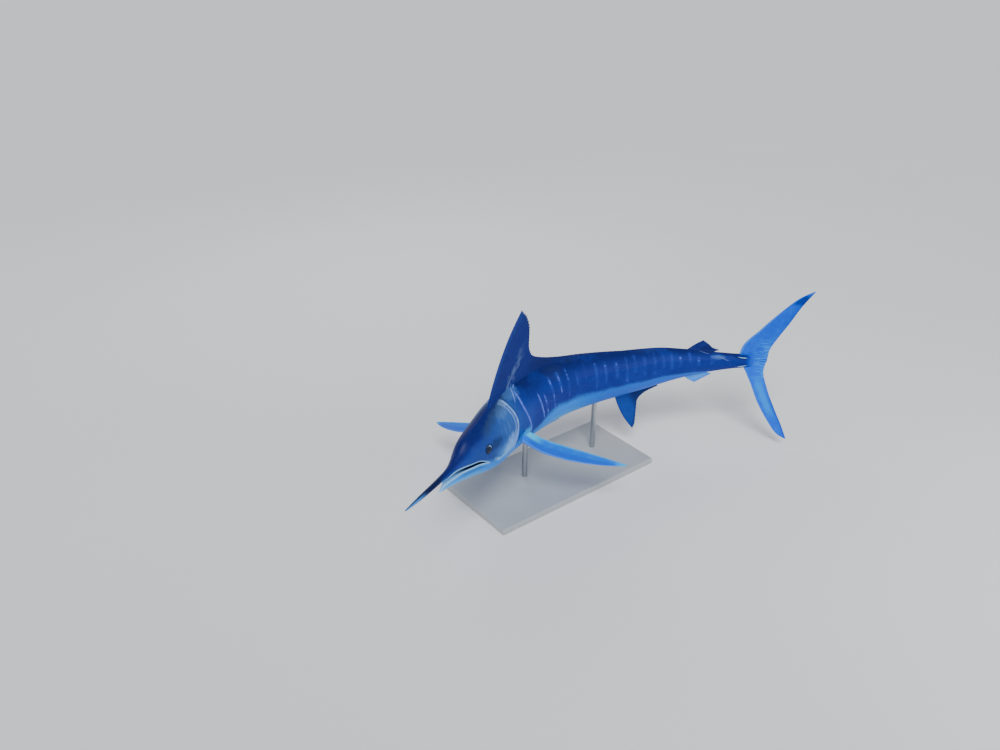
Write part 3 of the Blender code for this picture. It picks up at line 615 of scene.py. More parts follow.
keel_share = (station - KEEL_STATIONS[0]) / (KEEL_STATIONS[1] - KEEL_STATIONS[0])
swell = np.sin(math.pi * np.clip(keel_share, 0, 1)) ** 0.6
keel_height = KEEL_HEIGHTS[0] + (KEEL_HEIGHTS[1] - KEEL_HEIGHTS[0]) * keel_share
off_keel = (np.abs(height) - keel_height) * BODY_LENGTH / KEEL_HALF_THICKNESS
crest = side_line(station) * KEEL_START[0] + KEEL_START[1] + KEEL_REACH / BODY_LENGTH * swell
keel = swell * np.exp(-np.abs(off_keel) ** KEEL_SHARPNESS) * (1 - inside)
side = side + left_or_right * np.maximum(crest - np.abs(side), 0) * keel
side = side * (1 - STOCK_NARROWING * smooth_step(station, NARROWING_START, STOCK_END))
height = height * (1 - STOCK_LOWERING * smooth_step(station, LOWERING_START, STOCK_END))
keel_side = float(np.abs(side[keel > 0.9]).max()) * BODY_LENGTH
print("keels stand out to", round(keel_side * 1000, 1), "mm from the middle")

# %% [markdown]
# ## Eyes, lips, gill cover and the small forms of the skin
#
# Each small form is a field: a height in millimetres that depends on where a point lies on the body. The
# fields are added up, and the points then move along the surface's own normals. A field is easier to tune
# than cuts and joins, leaves no seam, and can be as soft as flesh. The gill cover is the only sharp one:
# its rear edge stands proud of the trunk, which starts a step lower and comes back up behind it.

# %% Places of the eyes and nostrils
EYE_PLACE = (0.139, 0.0015)
EYE_RADIUS = 0.025
EYE_DEPTH = 0.013
EYE_SUNK = 0.0085
# half the distance over which a slope of the skin is measured, in shares of the length
PROBE = 0.004
NOSTRIL_PLACES = [(0.113, 0.0085), (0.119, 0.0095)]


def unit(vector):
    """Return a vector of length 1 in the same direction."""
    return vector / np.linalg.norm(vector)


def skin_frame(station, height, side_sign):
    """Return the surface point at a station and height, and axes backwards, up and out of the skin."""
    def surface(s, h):
        top, bottom = back_line(s), belly_line(s)
        cosine = np.clip((h - (top + bottom) / 2) / ((top - bottom) / 2), -1, 1)
        side, _ = oval(top, bottom, side_line(s), np.arccos(cosine))
        return at(s, side_sign * side, h)

    point = surface(station, height)
    along = unit(surface(station + PROBE, height) - surface(station - PROBE, height))
    upward = unit(surface(station, height + PROBE) - surface(station, height - PROBE))
    out = unit(np.cross(along, upward)) * side_sign
    return point, along, unit(upward - along * np.dot(upward, along)), out


points = at(station, side, height)
eye_frames = [skin_frame(*EYE_PLACE, sign) for sign in (1, -1)]
print("left eye at", np.round(eye_frames[0][0], 3))

# %% Distances on the skin
# the furrow of the cheek: its station, how far it bows back, and between which turns
CHEEK_STATION = 0.170
CHEEK_BOW = 0.022
CHEEK_TURNS = (0.9, 2.5)

mm_per_station = BODY_LENGTH * 1000
is_lower = np.zeros(len(values), bool)
is_lower[numbers["lower"].ravel()] = True
before_corner = (station < MOUTH_CORNER) & (inside == 0)
lip_height = np.where(is_lower, lower_lip(station), upper_lip(station))
cheek_share = np.clip((turn - CHEEK_TURNS[0]) / (CHEEK_TURNS[1] - CHEEK_TURNS[0]), 0, 1)
cheek_line = CHEEK_STATION + CHEEK_BOW * np.sin(cheek_share * math.pi)
from_lip = np.abs(height - lip_height) * mm_per_station
from_cheek = (station - cheek_line) * mm_per_station
from_gill = (base - GILL_TOP) * mm_per_station
from_back = turn * side_line(station) * mm_per_station
gill_end = float(gill_station(math.pi / 2)) * BODY_LENGTH
print("the gill cover ends", round(gill_end, 3), "m behind the tip of the lower jaw")

# %% Fields of relief
# how fast the throat's folds follow each other round the body and along it, and the turn of the first
FOLDS_ROUND = 9.0
FOLDS_ALONG = 40.0
FIRST_FOLD = 2.3

lips = smooth_step(station, 0.004, 0.03) * before_corner
jaw_bone = smooth_step(station, 0.04, 0.09) * before_corner * (1 - is_lower)
cheek = plateau(turn, 0.85, 1.15, 2.2, 2.5)
throat = smooth_step(station, 0.115, 0.135) * smooth_step(turn, 2.25, 2.5)
throat = throat * (1 - smooth_step(from_gill, -5.0, 0.0))
folds = np.cos((turn - FIRST_FOLD) * FOLDS_ROUND + (station - MOUTH_CORNER) * FOLDS_ALONG) * (1 - inside)
gill_cover = (station > MOUTH_CORNER) * smooth_step(turn, 0.25, 0.8)
gill_side = (station > MOUTH_CORNER) * smooth_step(turn, 0.5, 1.0)
under_fin = plateau(station, 0.186, 0.20, 0.60, 0.62)
flank = plateau(station, 0.27, 0.36, 0.86, 0.93)
# each field, and its height in millimetres
RELIEF = [
    (lips * hump(from_lip, 3.5, 3.5), 1.3),  # the roll of the lip
    (lips * hump(from_lip, 12.0, 3.0), -0.9),  # the groove along it
    (jaw_bone * hump(from_lip, 19.0, 5.0), 1.2),  # the bone of the upper jaw
    (cheek * hump(from_cheek, 0.0, 4.5), -1.5),  # the furrow of the cheek
    (cheek * hump(from_cheek, -9.0, 6.0), 0.9),  # the swelling in front of it
    (throat * folds, 0.6),  # the folds of the throat
    (gill_cover * plateau(from_gill, 0.0, 0.8, 2.0, 80.0), -2.4),  # the drop behind the gill cover
    (gill_cover * hump(from_gill, -3.5, 3.0) * (from_gill <= 0), 0.8),  # its raised edge
    (gill_side * hump(from_gill, -17.0, 5.0), -0.8),  # the hollow in front of that
    (under_fin * hump(from_back, 9.0, 5.0), 1.2),  # the sheath of the first dorsal fin
    (under_fin * hump(from_back, 0.0, 3.5), -1.0),  # the groove the fin folds into
    (flank * hump(turn, 1.50, 0.10), -1.3),  # the line along the flank
    (flank * (hump(turn, 1.18, 0.22) + hump(turn, 1.85, 0.22)), 0.8),  # the muscle on both sides of it
    (hump(turn, 0.80, 0.16) * plateau(station, 0.07, 0.125, 0.15, 0.19), 2.0),  # the brow
]
relief = sum(field * millimetres for field, millimetres in RELIEF)
print("relief from", round(float(relief.min()), 2), "to", round(float(relief.max()), 2), "mm")

# %% [markdown]
# ### From fields to a mesh
#
# The points are first joined as they are, because the relief pushes them along the mesh's own normals. The
# sockets of the eyes can't be such a field, since an eye looks out in one direction: there the skin is
# pushed straight along the eye's axis, with a low ring round the pit. Only edges sharper than 52 degrees,
# such as those of the gill cover and the lips' corners, stay crisp in the shading.


# %% Mesh of the skin
def closed_mesh(name, points, faces):
    """Return a smooth mesh of these points and faces, with every face looking outwards."""
    mesh = bpy.data.meshes.new(name)
    mesh.from_pydata(points.tolist(), [], faces)
    form = bmesh.new()
    form.from_mesh(mesh)
    bmesh.ops.recalc_face_normals(form, faces=form.faces[:])
    form.to_mesh(mesh)
    form.free()
    mesh.shade_smooth()
    return mesh


skin_mesh = closed_mesh("marlin_skin", points, skin_faces)
normals = np.zeros(len(points) * 3)
skin_mesh.vertices.foreach_get("normal", normals)
points += normals.reshape(-1, 3) * relief[:, None] * 0.001
print("skin:", len(skin_mesh.polygons), "faces")

# %% Sockets and nostrils
# metres out of the plane of an eye or nostril, within which the skin belongs to it
NEAR_SKIN = 0.025
# millimetres: how deep a socket is, and between which distances from its axis its wall rises
SOCKET_DEPTH = 11.0
SOCKET_WALL = (14.5, 18.6)
# rings of flesh round the eye: distance from its axis, width and height in millimetres
EYE_RINGS = [(20.5, 1.8, 1.3), (24.5, 2.0, -0.5), (29.0, 5.0, 0.7)]
NOSTRIL_HALF_LENGTH = 0.0042
NOSTRIL_HALF_WIDTH = 0.0022
NOSTRIL_DEPTH = 0.0028
SHARPEST_SMOOTH_EDGE = math.radians(52)


def belongs(sign, offset, out):
    """Return which outer points lie on one side of the fish and near a plane that touches its skin."""
    return (left_or_right == sign) & (np.abs(offset @ out) < NEAR_SKIN) & (inside == 0)


eye_gap = np.full(len(points), 1.0)
for sign, (centre, along, upward, out) in zip((1, -1), eye_frames):
    from_eye = points - centre
    across = np.hypot(from_eye @ along, from_eye @ upward)
    near = belongs(sign, from_eye, out)
    radius = across * 1000
    socket = -SOCKET_DEPTH * (1 - smooth_step(radius, *SOCKET_WALL))
    socket += sum(rise * hump(radius, middle, width) for middle, width, rise in EYE_RINGS)
    points += np.where(near, socket, 0.0)[:, None] * 0.001 * out
    eye_gap = np.where(near, np.minimum(eye_gap, across), eye_gap)
    for place in NOSTRIL_PLACES:
        centre, along, upward, out = skin_frame(*place, sign)
        from_pit = points - centre
        long_way = from_pit @ along / NOSTRIL_HALF_LENGTH
        short_way = from_pit @ upward / NOSTRIL_HALF_WIDTH
        pit = np.exp(-(long_way**2 + short_way**2) ** 1.5) * belongs(sign, from_pit, out)
        points -= pit[:, None] * NOSTRIL_DEPTH * out
skin_mesh.vertices.foreach_set("co", points.ravel())
skin_mesh.update()
skin_mesh.set_sharp_from_angle(angle=SHARPEST_SMOOTH_EDGE)
skin = add_object("marlin_skin", skin_mesh)
print("sockets", SOCKET_DEPTH, "mm deep, nostrils", NOSTRIL_DEPTH * 1000, "mm")

# %% [markdown]
# ## What the finish needs to know
#
# The pattern of a marlin follows its body, not the room, so each point of the skin carries a few numbers:
# its station and its turn round the body, how far it lies below the line where the belly turns pale, how
# far below the dark crown of the head, and where it falls between two bars. The finish then reads these
# numbers, roughens them with noise and turns them into colour. That keeps the pattern sharp at any distance
# and bends it with the fish.


# %% Numbers for the pattern
def store(mesh, name, array):
    """Keep one number for each point of a mesh."""
    attribute = mesh.attributes.new(name, "FLOAT", "POINT")
    attribute.data.foreach_set("value", np.asarray(array, np.float32))


# bars from the shoulder to the tail: station high on the flank, and where each starts and ends, in degrees
# from the middle of the back
BARS = [(0.278, 26, 122), (0.340, 58, 106), (0.357, 66, 104), (0.391, 40, 100), (0.422, 36, 78),
        (0.451, 32, 96), (0.480, 46, 76), (0.508, 30, 70), (0.541, 40, 96), (0.568, 34, 90),
        (0.600, 44, 84), (0.628, 34, 98), (0.651, 30, 80), (0.677, 40, 92), (0.705, 30, 100),
        (0.728, 44, 84), (0.751, 30, 96), (0.774, 50, 92), (0.801, 30, 80), (0.824, 50, 96),
        (0.860, 40, 94), (0.902, 50, 80)]
BAR_STATIONS = np.array([bar[0] for bar in BARS])
# how much farther back the front bars run lower down
BAR_LEAN = [(0.278, 0.031), (0.340, 0.021), (0.390, 0.010), (0.450, 0.0)]
# degrees from the middle of the back: where the dark crown ends, and where the pale belly starts
CROWN_EDGE = [(-0.02, 60), (0.04, 42), (0.09, 49), (0.118, 47), (0.144, 38), (0.168, 29), (0.198, 20),
              (0.227, 15), (0.27, 4), (0.33, -25)]
PALE_EDGE = [(0.0, 78), (0.06, 88), (0.10, 96), (0.14, 108), (0.183, 119), (0.22, 114), (0.26, 116),
             (0.30, 128), (0.35, 118), (0.37, 107), (0.41, 100), (0.46, 100), (0.51, 102), (0.61, 109),
             (0.67, 113), (0.76, 118), (0.82, 132), (0.87, 150), (0.95, 160)]

# %% Where each point lies in the pattern
degrees = np.degrees(turn)
down_flank = smooth_step(degrees, 48, 118)
leans = smooth_line(BAR_LEAN)(BAR_STATIONS)
bar_places = [place + shift * down_flank for place, shift in zip(BAR_STATIONS, leans)]
bar_phase = np.zeros(len(values))
for ahead, behind in zip(bar_places[:-1], bar_places[1:]):
    bar_phase += np.clip((station - ahead) / (behind - ahead), 0, 1)
nearest = np.round(bar_phase).astype(int)
bar_start, bar_end = np.array([bar[1:] for bar in BARS])[nearest].T
between_bars = np.diff(BAR_STATIONS) * mm_per_station
skin_numbers = {
    "station": station,
    "turn": degrees,
    "along": station * BODY_LENGTH,
    "around": angle * side_line(station) * 1.5 * BODY_LENGTH,  # about metres round the body
    "pale": degrees - np.interp(station, *np.array(PALE_EDGE).T),
    "crown": degrees - np.interp(station, *np.array(CROWN_EDGE).T),
    "bar_phase": bar_phase,
    "bar_room": np.interp(bar_phase, np.arange(len(between_bars)) + 0.5, between_bars),
    "bar_window": plateau(degrees, bar_start - 7, bar_start + 7, bar_end - 6, bar_end + 4),
    "before_bars": np.minimum(station - bar_places[0], 0.0) * mm_per_station,
    "from_gill": np.where(station > MOUTH_CORNER, from_gill, -200.0),
    "from_lip": np.where(before_corner & (station > -0.02), from_lip, 100.0),
    "lower_jaw": is_lower,
    "inside": inside,
    "eye_gap": eye_gap * 1000,
    "keel": keel,
}
for name, array in skin_numbers.items():
    store(skin_mesh, name, array)
print("bars:", len(BARS), "over", round(BAR_STATIONS[-1] - BAR_STATIONS[0], 2), "of the length")

# %% [markdown]
# ## Marlin skin under lacquer
#
# A real marlin's skin is a smooth hide over narrow, buried scales, dark cobalt above and silver below, and
# a museum paints it in many thin layers under satin lacquer. So this finish is layered in the same order.
# First come the noises that roughen every edge, because neither a brush nor a living skin draws a clean
# curve: broad clouds 110 mm wide, a mottle of 24 mm and a grit of 7 mm, and others that run along the body,
# round the gill cover or down a bar. Each is set to waver about zero, so that it can be added to a
# distance.

# %% Noises of the skin
lacquered_skin, tree, shader, spot = new_finish("painted_marlin_skin")
bar_step = total(tree, "bar_phase", 0.5)
bar_number = add(tree, "Math", {0: bar_step}, operation="FLOOR").outputs[0]
lie = add(tree, "CombineXYZ", {0: read(tree, "along"), 1: read(tree, "around")}).outputs[0]
noises = [(spot, 9.0, 3.0, 0.5), (spot, 42.0, 4.0, 0.6), (spot, 150.0, 2.0, 0.5)]
# two numbers that a noise runs over, the waves for each unit of them, and its detail
for along, waves_along, around, waves_around, detail in [
    ("along", 40.0, "around", 330.0, 2.0),  # streaks of the hide
    ("from_gill", 0.24, "turn", 0.035, 2.0),  # ribs of the gill cover
    (total(tree, "from_gill", ("pale", -0.5)), 0.22, "turn", 0.02, 1.0),  # rays of its lower corner
    (bar_number, 7.31, "turn", 0.075, 1.0),  # dots of a bar
    (bar_number, 3.0702, "turn", 0.0315, 1.0),  # long dots
    (bar_number, 7.31, "turn", 0.30, 1.0),  # beads
]:
    sockets = {0: total(tree, (along, waves_along)), 1: total(tree, (around, waves_around))}
    noises.append((add(tree, "CombineXYZ", sockets).outputs[0], 1.0, detail, 0.5))
broad, mottle, grit, streaks, ribs, fan_rays, dots, long_dots, beads = [
    total(tree, add(tree, "TexNoise", {"Vector": place, "Scale": scale, "Detail": detail,
                                       "Roughness": roughness}).outputs["Fac"], -0.5)
    for place, scale, detail, roughness in noises
]
print(len(noises), "noises")

# %% Patches and streaks
WAVER_LENGTH = 0.03
WAVER_DEGREES = 22.0
wavy_station = total(tree, "station", (mottle, WAVER_LENGTH))
wavy_turn = total(tree, "turn", (mottle, WAVER_DEGREES))


def patch(place, turned, half_length, half_height):
    """Return a soft oval round a station and a turn in degrees."""
    across = total(tree, (wavy_station, 1 / half_length), -place / half_length)
    down = total(tree, (wavy_turn, 1 / half_height), -turned / half_height)
    return mask(tree, (total(tree, (across, across), (down, down)), 1.4, 0.2))


def streak(start, end, half_width):
    """Return a thin spotted line between two places, as station and degrees; half_width is in mm."""
    (s0, t0), (s1, t1) = start, end
    share = total(tree, ("turn", 1 / (t1 - t0)), -t0 / (t1 - t0))
    drift = (s0 - s1) * mm_per_station
    off = total(tree, ("station", mm_per_station), -s0 * mm_per_station, (share, drift), (grit, 9.0))
    edge, core = half_width * 1.6, half_width * 0.5
    return mask(tree, (off, -edge, -core, core, edge), (share, -0.12, 0.05, 0.92, 1.1))


print("edges of patches waver by up to", round(0.35 * WAVER_LENGTH * mm_per_station), "mm")

# %% [markdown]
# ### Back and head
#
# Behind a dark crown, the cheek and the gill cover are slate blue, lighter towards the rear, with a faint
# bronze between the two. Each area could be cut out of the mesh as a region of its own, but on the fish
# none has a hard edge, so each is a window on how far a point lies below the crown, or a soft patch.

# %% Layers of back and head
crown = total(tree, "crown", (mottle, 16.0), (broad, 10.0))
in_front = ("station", 0.295, 0.215)
on_head = ("from_gill", 3.0, -2.0)
side_of_head = mask(tree, (crown, -14.0, 28.0), in_front)
rib = mask(tree, (ribs, -0.10, 0.08))
cheek_ribs = mask(tree, (ribs, 0.02, 0.16), ("from_gill", -110, -60, -20, -8), ("turn", 28, 44, 100, 118))
layers = [
    ("#0b1a60", ("turn", 62, 20)),  # the ridge of the back
    ("#12349a", (broad, -0.05, 0.12), 0.40),  # clouds
    ("#1a3f92", side_of_head),
    ("#2a5eac", side_of_head, (total(tree, "station", (broad, 0.05)), 0.135, 0.225), 0.80),  # rear of it
    ("#5c8ac0", patch(0.213, 33, 0.022, 17), on_head, 0.35),  # light plate over the gill cover
    ("#4c98e8", ("pale", -34.0, -12.0, 6.0, 14.0), ("station", 0.155, 0.20), on_head, 0.80),  # low cheek
    ("#5c90dc", cheek_ribs, 0.35),
    ("#8cccff", patch(0.216, 108, 0.022, 13), on_head, total(tree, rib, 0.35), 0.60),  # gill cover's corner
    ("#0d1c66", (crown, 14.0, -18.0), in_front),  # dark crown
    ("#143268", patch(0.160, 78, 0.030, 11), 0.85),  # shade behind the eye
    # partly the skin's pale colour and partly a painted sheen: a light patch on the nape
    ("#4076c4", patch(0.266, 17, 0.026, 20), 0.65),  # nape
    ("#1c54b4", ("station", 0.235, 0.255, 0.285, 0.345), ("turn", 40, 75, 118, 135), 0.35),  # shoulder
    ("#88b0f0", patch(0.228, 25, 0.010, 12), on_head, 0.6),  # top of the gill cover
]
print(len(layers), "layers on back and head")

# %% [markdown]
# ### Bars, belly and flank
#
# At the shoulder a bar is a bright thread of beads with a soft pale halo; farther back only the halo and a
# few single spots are left. Painting twenty-two bars one by one would be slow to change, so each point
# knows how many bars it has passed, and the distance to the nearest one follows from that. The belly is a
# window on how far a point lies below its edge, and turns from sky blue to a deeper blue behind; that deeper
# blue is painted shade over the pale belly.

# %% Masks of the bars
HALO_REACH = 15.0
to_bar = total(tree, add(tree, "Math", {0: bar_step}, operation="FRACT").outputs[0], -0.5)
off_middle = total(tree, (to_bar, "bar_room"), (grit, 3.5))
off_middle = add(tree, "Math", {0: off_middle}, operation="ABSOLUTE").outputs[0]
off_bar = total(tree, off_middle, ("before_bars", -1.0))
bead = total(tree, (mask(tree, (beads, -0.12, 0.06)), 0.65), 0.35)
thread = mask(tree, (off_bar, 5.5, 0.5), (dots, -0.06, 0.10), bead)
first_bars = mask(tree, (off_bar, 8.0, 1.0), (bar_number, 1.6, 0.6), total(tree, (bead, 0.45), 0.55))
halo = mask(tree, (off_bar, HALO_REACH, 2.0), total(tree, mask(tree, (long_dots, -0.12, 0.10)), 0.35))
front_part = mask(tree, ("station", 0.49, 0.42))
on_bar = mask(tree, "bar_window", ("station", 0.92, 0.875))
bright_bars = total(tree, (thread, total(tree, (front_part, 0.75), 0.10)), (first_bars, 0.75))
print("bars are", 2 * HALO_REACH, "mm wide with their halo")

# %% Layers of the trunk
pale = total(tree, "pale", (mottle, 8.0), (streaks, 5.0), (broad, 12.0))
belly = mask(tree, (pale, -7.0, 11.0))
bronze_patches = total(tree, patch(0.415, 30, 0.030, 22), patch(0.475, 11, 0.035, 9),
                       patch(0.700, 17, 0.050, 9), patch(0.845, 22, 0.030, 12))
shoulder_streaks = total(tree, streak((0.277, 14), (0.262, 42), 3.0), streak((0.296, 4), (0.284, 16), 4.0))
layers += [
    ("#4c80cc", patch(0.878, 52, 0.020, 16), 0.45),  # pale side of the stock
    ("#35485e", (crown, -14.0, 0.0, 8.0, 26.0), ("station", 0.12, 0.155, 0.25, 0.285), 0.45),  # bronze
    ("#34405c", bronze_patches, 0.18),
    ("#2c4fc0", halo, on_bar, total(tree, (front_part, 0.18), 0.22)),
    ("#1c90ff", belly),
    # painted shade: the belly turns a deeper blue towards the rear
    ("#0e56d0", belly, ("station", 0.40, 0.62), 0.85),  # its rear
    ("#6cc8ff", (pale, 16.0, 52.0), ("station", 0.56, 0.44), 0.75),  # its white underside
    ("#2cb4ff", patch(0.287, 115, 0.026, 15), ("from_gill", 2.0, 10.0), 0.80),  # root of the pectoral fin
    ("#6684f0", bright_bars, on_bar),
    ("#5c78ec", (off_bar, 6.5, 1.5), (dots, 0.12, 0.20), (long_dots, -0.02, 0.05), on_bar,
     ("station", 0.36, 0.42), 0.75),  # single spots
    ("#7894f0", shoulder_streaks, 0.7),
]
print(len(layers), "layers on head and trunk")

# %% [markdown]
# ### Gill cover, mouth and tail stock
#
# The rear edge of the gill cover carries a bright double line that breaks into rays at its lower corner,
# and throws a narrow shade on the shoulder. The lips are edged with a pale line, the lower jaw is pale with
# a blue band, and the bill is dark above with a paler tip. All of them follow an edge, so each is a window
# on the distance in millimetres from that edge. The stock ends in the azure of the tail, with pale crests
# on its keels.

# %% Layers of gill cover and mouth
wavy_gill = total(tree, "from_gill", (grit, 7.0))
edge_line = mask(tree, (wavy_gill, -13, -8, -1.5, 0.5), ("turn", 14, 26, 120, 134), total(tree, rib, 0.45))
inner_line = mask(tree, (wavy_gill, -27, -22, -18, -15), ("turn", 30, 44, 112, 124))
fan = mask(tree, (fan_rays, -0.06, 0.07), ("turn", 78, 94, 122, 134), ("from_gill", -78, -50, -4, 0), 0.95)
double_line = total(tree, (edge_line, 0.75), (inner_line, 0.50))
gill_lines = add(tree, "Math", {0: double_line, 1: fan}, operation="MAXIMUM").outputs[0]
jaw_front = ("station", 0.148, 0.115)
from_corner = total(tree, pale, (broad, 6.0))
from_lip_line = total(tree, "from_lip", (grit, 3.0))
layers += [
    ("#0c1c58", ("from_gill", -0.5, 0.5, 2.0, 8.0), ("turn", 18, 34, 118, 134)),  # shade behind the cover
    ("#88b0fa", gill_lines),
    ("#84ccff", (from_corner, -7.0, -3.0, 0.0, 5.0), ("station", 0.152, 0.180, 0.215, 0.236),
     total(tree, mask(tree, (ribs, -0.12, 0.10)), 0.4), 0.75),  # line from the corner of the mouth
    ("#0874d0", "lower_jaw", (total(tree, "from_lip", (streaks, 5.0)), 9.0, 14.0, 24.0, 32.0),
     ("station", 0.045, 0.075), jaw_front, 0.90),  # band along the lower jaw
    ("#84d0ff", "lower_jaw", (total(tree, "from_lip", (mottle, 8.0)), 14.0, 5.0), jaw_front, 0.85),  # its lip
    ("#98ccff", (from_lip_line, -2.0, -1.0, 3.0, 6.5), ("station", 0.1495, 0.138), 0.80),  # lips
    ("#0e1848", ("station", 0.03, -0.01), (total(tree, "turn", (grit, 18.0)), 138, 108),
     ("lower_jaw", 0.6, 0.4), ("inside", 0.6, 0.4)),  # bill
    ("#4c90e0", ("station", -0.040, -0.080), ("turn", 8, 46), 0.9),  # its tip
]
print(len(layers), "layers up to the bill")

# %% Layers of stock, eye and mouth
saddle = total(tree, streak((0.831, 16), (0.853, 34), 4.5), streak((0.872, 44), (0.903, 76), 4.0))
layers += [
    ("#7088d4", saddle, 0.60),
    ("#10204a", ("eye_gap", 13.0, 17.0, 20.0, 27.0), 0.70),  # ring round the eye
    ("#0652d6", ("station", 0.945, 0.968)),  # end of the stock
    ("#b4e2ff", ("keel", 0.72, 0.95), 0.9),  # crests of the keels
    ("#8cccf8", "inside"),
    # painted shade: the inside of the mouth turns dark deeper into the pocket
    ("#16285c", "inside", ("station", 0.035, 0.085)),  # deep in the mouth
    ("#3a66c0", (streaks, 0.02, 0.22), 0.12),  # fine streaks all over
]
fill(shader, {"Base Color": layered(tree, "#0c2684", layers)})
print(len(layers), "layers in all")

# %% [markdown]
# ### Scales and lacquer
#
# The scales are flat lozenges 12 mm long and 2.5 mm wide, their real size, and stand out by a fraction of a
# millimetre, so a bump shows them well enough. Satin lacquer gives broad, weak gleams: the skin is fairly
# rough, with a thin soft coat. The silver of the belly is a trace of metal.

# %% Scales and lacquer
SCALE_LENGTH = 0.012
SCALE_WIDTH = 0.0025
SKIN_RELIEF = 0.0006

scale_density = (1 / SCALE_LENGTH, 1 / SCALE_WIDTH, 1.0)
scale_place = add(tree, "Mapping", {"Vector": lie, "Scale": scale_density}).outputs[0]
scales = add(tree, "TexVoronoi", {"Vector": scale_place, "Scale": 1.0, "Randomness": 0.7},
             feature="DISTANCE_TO_EDGE").outputs["Distance"]
lozenge = mask(tree, (scales, 0.0, 0.16), ("from_gill", -2.0, 12.0))
height_field = total(tree, (lozenge, 0.5), (streaks, 0.3), (mottle, 0.5))
bump = add(tree, "Bump", {"Height": height_field, "Distance": SKIN_RELIEF, "Strength": 0.35})
fill(shader, {
    "Normal": bump.outputs["Normal"],
    "Roughness": total(tree, (mottle, 0.20), (streaks, 0.10), 0.46),
    "Metallic": mask(tree, belly, 0.15),
    "Specular IOR Level": 0.12,
    "Coat Weight": 0.05,
    "Coat Roughness": 0.20,
})
skin_mesh.materials.append(lacquered_skin)
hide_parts("bill", "head", "lower_jaw", "trunk_front", "trunk_rear", "tail_stock")
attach(skin, "root")
print("skin finish:", len(tree.nodes), "nodes")

# %% [markdown]
# ## Fins
#
# A marlin's fin is a thin membrane stretched over stiff rays. It could be cut from a sheet, but then every
# ray would be a separate rod that has to be joined. Here a fin is a grid of points with a thickness at
# each: thick at the root and along the leading edge, thin between the rays, with a low ridge over each ray.
# Both faces come from the same grid, so they never cross, and they close round the rim. At its root the fin
# flares out into the body, as flesh does.


# %% A fin from a grid
THINNEST = 0.0002
RIDGE_WIDTH = 0.17
TIP_ROUNDING = 0.03


def ray_ridge(x, rays):
    """Return 1 on the middle of each ray and 0 between rays; x runs from the leading to the trailing edge."""
    return hump((x * rays) % 1.0, 0.5, RIDGE_WIDTH)


def fin_grid(columns, rows):
    """Return shares from the leading to the trailing edge, and from root to tip, over a grid."""
    return np.meshgrid(np.linspace(0, 1, columns + 1), np.linspace(0, 1, rows), indexing="ij")


def half_thickness(x, v, rays, sizes, rounding):
    """Return half a fin's thickness over a grid; sizes are those at root, tip, ridge and leading edge."""
    root, tip, ridge, leading = sizes
    plain = root + (tip - root) * v
    stiff = (leading - root) * (1 - x) ** 4 * (1 - v) ** 0.7
    crest = ridge * (1 - 0.6 * v) * ray_ridge(x, rays)
    edges = rounded(x / rounding) * rounded((1 - x) / (rounding * 0.5)) * rounded((1 - v) / TIP_ROUNDING)
    return np.maximum((plain + stiff + crest) * edges, THINNEST)


def make_fin(points, normals, half, x, v, rays, finish, node):
    """Make a thin fin that stands for a node of the solids."""
    offset = normals * half[..., None]
    both = np.concatenate([(points + offset).reshape(-1, 3), (points - offset).reshape(-1, 3)])
    near = np.arange(half.size).reshape(half.shape)
    rim = np.concatenate([near[:, 0], near[-1, 1:], near[-2::-1, -1], near[0, -2::-1]])
    sides = [quads(near), quads(near + half.size)[:, ::-1], quads(np.stack([rim, rim + half.size]))]
    name = node.replace("fin", "membrane")
    mesh = closed_mesh(name, both, np.concatenate(sides).tolist())
    for number, grid in (("ray", ray_ridge(x, rays)), ("outward", v), ("behind", x)):
        store(mesh, number, np.tile(grid.ravel(), 2))
    mesh.materials.append(finish)
    fin = add_object(name, mesh)
    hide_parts(node)
    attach(fin, "root")
    print(name, len(mesh.polygons), "faces,", rays, "rays")


# %% [markdown]
# ## Fin finishes
#
# The fins along the back are ink blue with a bronze band on the last long rays of the first one, the anal
# fin is thinner and lighter in front, and the tail, pectorals and pelvics are a clear sky blue, palest
# along their edges. So a fin's finish is one ground colour and a few marks. A mark is a window from front
# to rear and another from root to tip. Fine lines run beside the rays, the way the skin wrinkles there, and
# the roots of the tail's lobes are streaked straight across. A fin hardly shines: its gloss is that of
# satin paint.


# %% Fin membranes
ALL_OVER = ()
FIN_RELIEF = 0.0004


def fin_finish(name, base, marks, ray_colour, ray_strength):
    """Return a finish; marks are (window front to rear, window root to tip, strength, colour, streaks)."""
    material, tree, shader, spot = new_finish(name)
    mottle = add(tree, "TexNoise", {"Vector": spot, "Scale": 30.0, "Detail": 4.0}).outputs["Fac"]
    grain = []
    for waves_across, waves_along, detail in ((46.0, 5.0, 2.0), (2.5, 95.0, 1.0)):
        sockets = {0: total(tree, ("behind", waves_across)), 1: total(tree, ("outward", waves_along))}
        place = add(tree, "CombineXYZ", sockets).outputs[0]
        texture = add(tree, "TexNoise", {"Vector": place, "Scale": 1.0, "Detail": detail})
        grain.append(texture.outputs["Fac"])
    lines, streaks = grain
    behind = total(tree, "behind", (mottle, 0.16), -0.08)
    outward = total(tree, "outward", (mottle, 0.10), -0.05)
    streaked = {"plain": 1.0, "across": (streaks, 0.50, 0.60), "along": (lines, 0.36, 0.60)}
    layers = [(ray_colour, (mottle, 0.40, 0.66), 0.25), (ray_colour, "ray", ray_strength)]
    for across, along, strength, code, kind in marks:
        layers.append((code, (behind, *across), (outward, *along), strength, streaked[kind]))
    layers.append((ray_colour, (lines, 0.52, 0.70), 0.15))
    wrinkles = total(tree, (lines, 0.6), mottle)
    bump = add(tree, "Bump", {"Height": wrinkles, "Distance": FIN_RELIEF, "Strength": 0.5})
    fill(shader, {
        "Base Color": layered(tree, base, layers),
        "Normal": bump.outputs["Normal"],
        "Roughness": total(tree, (mottle, 0.2), 0.32),
        "Specular IOR Level": 0.10,
        "Coat Weight": 0.03,
        "Coat Roughness": 0.18,
    })
    return material


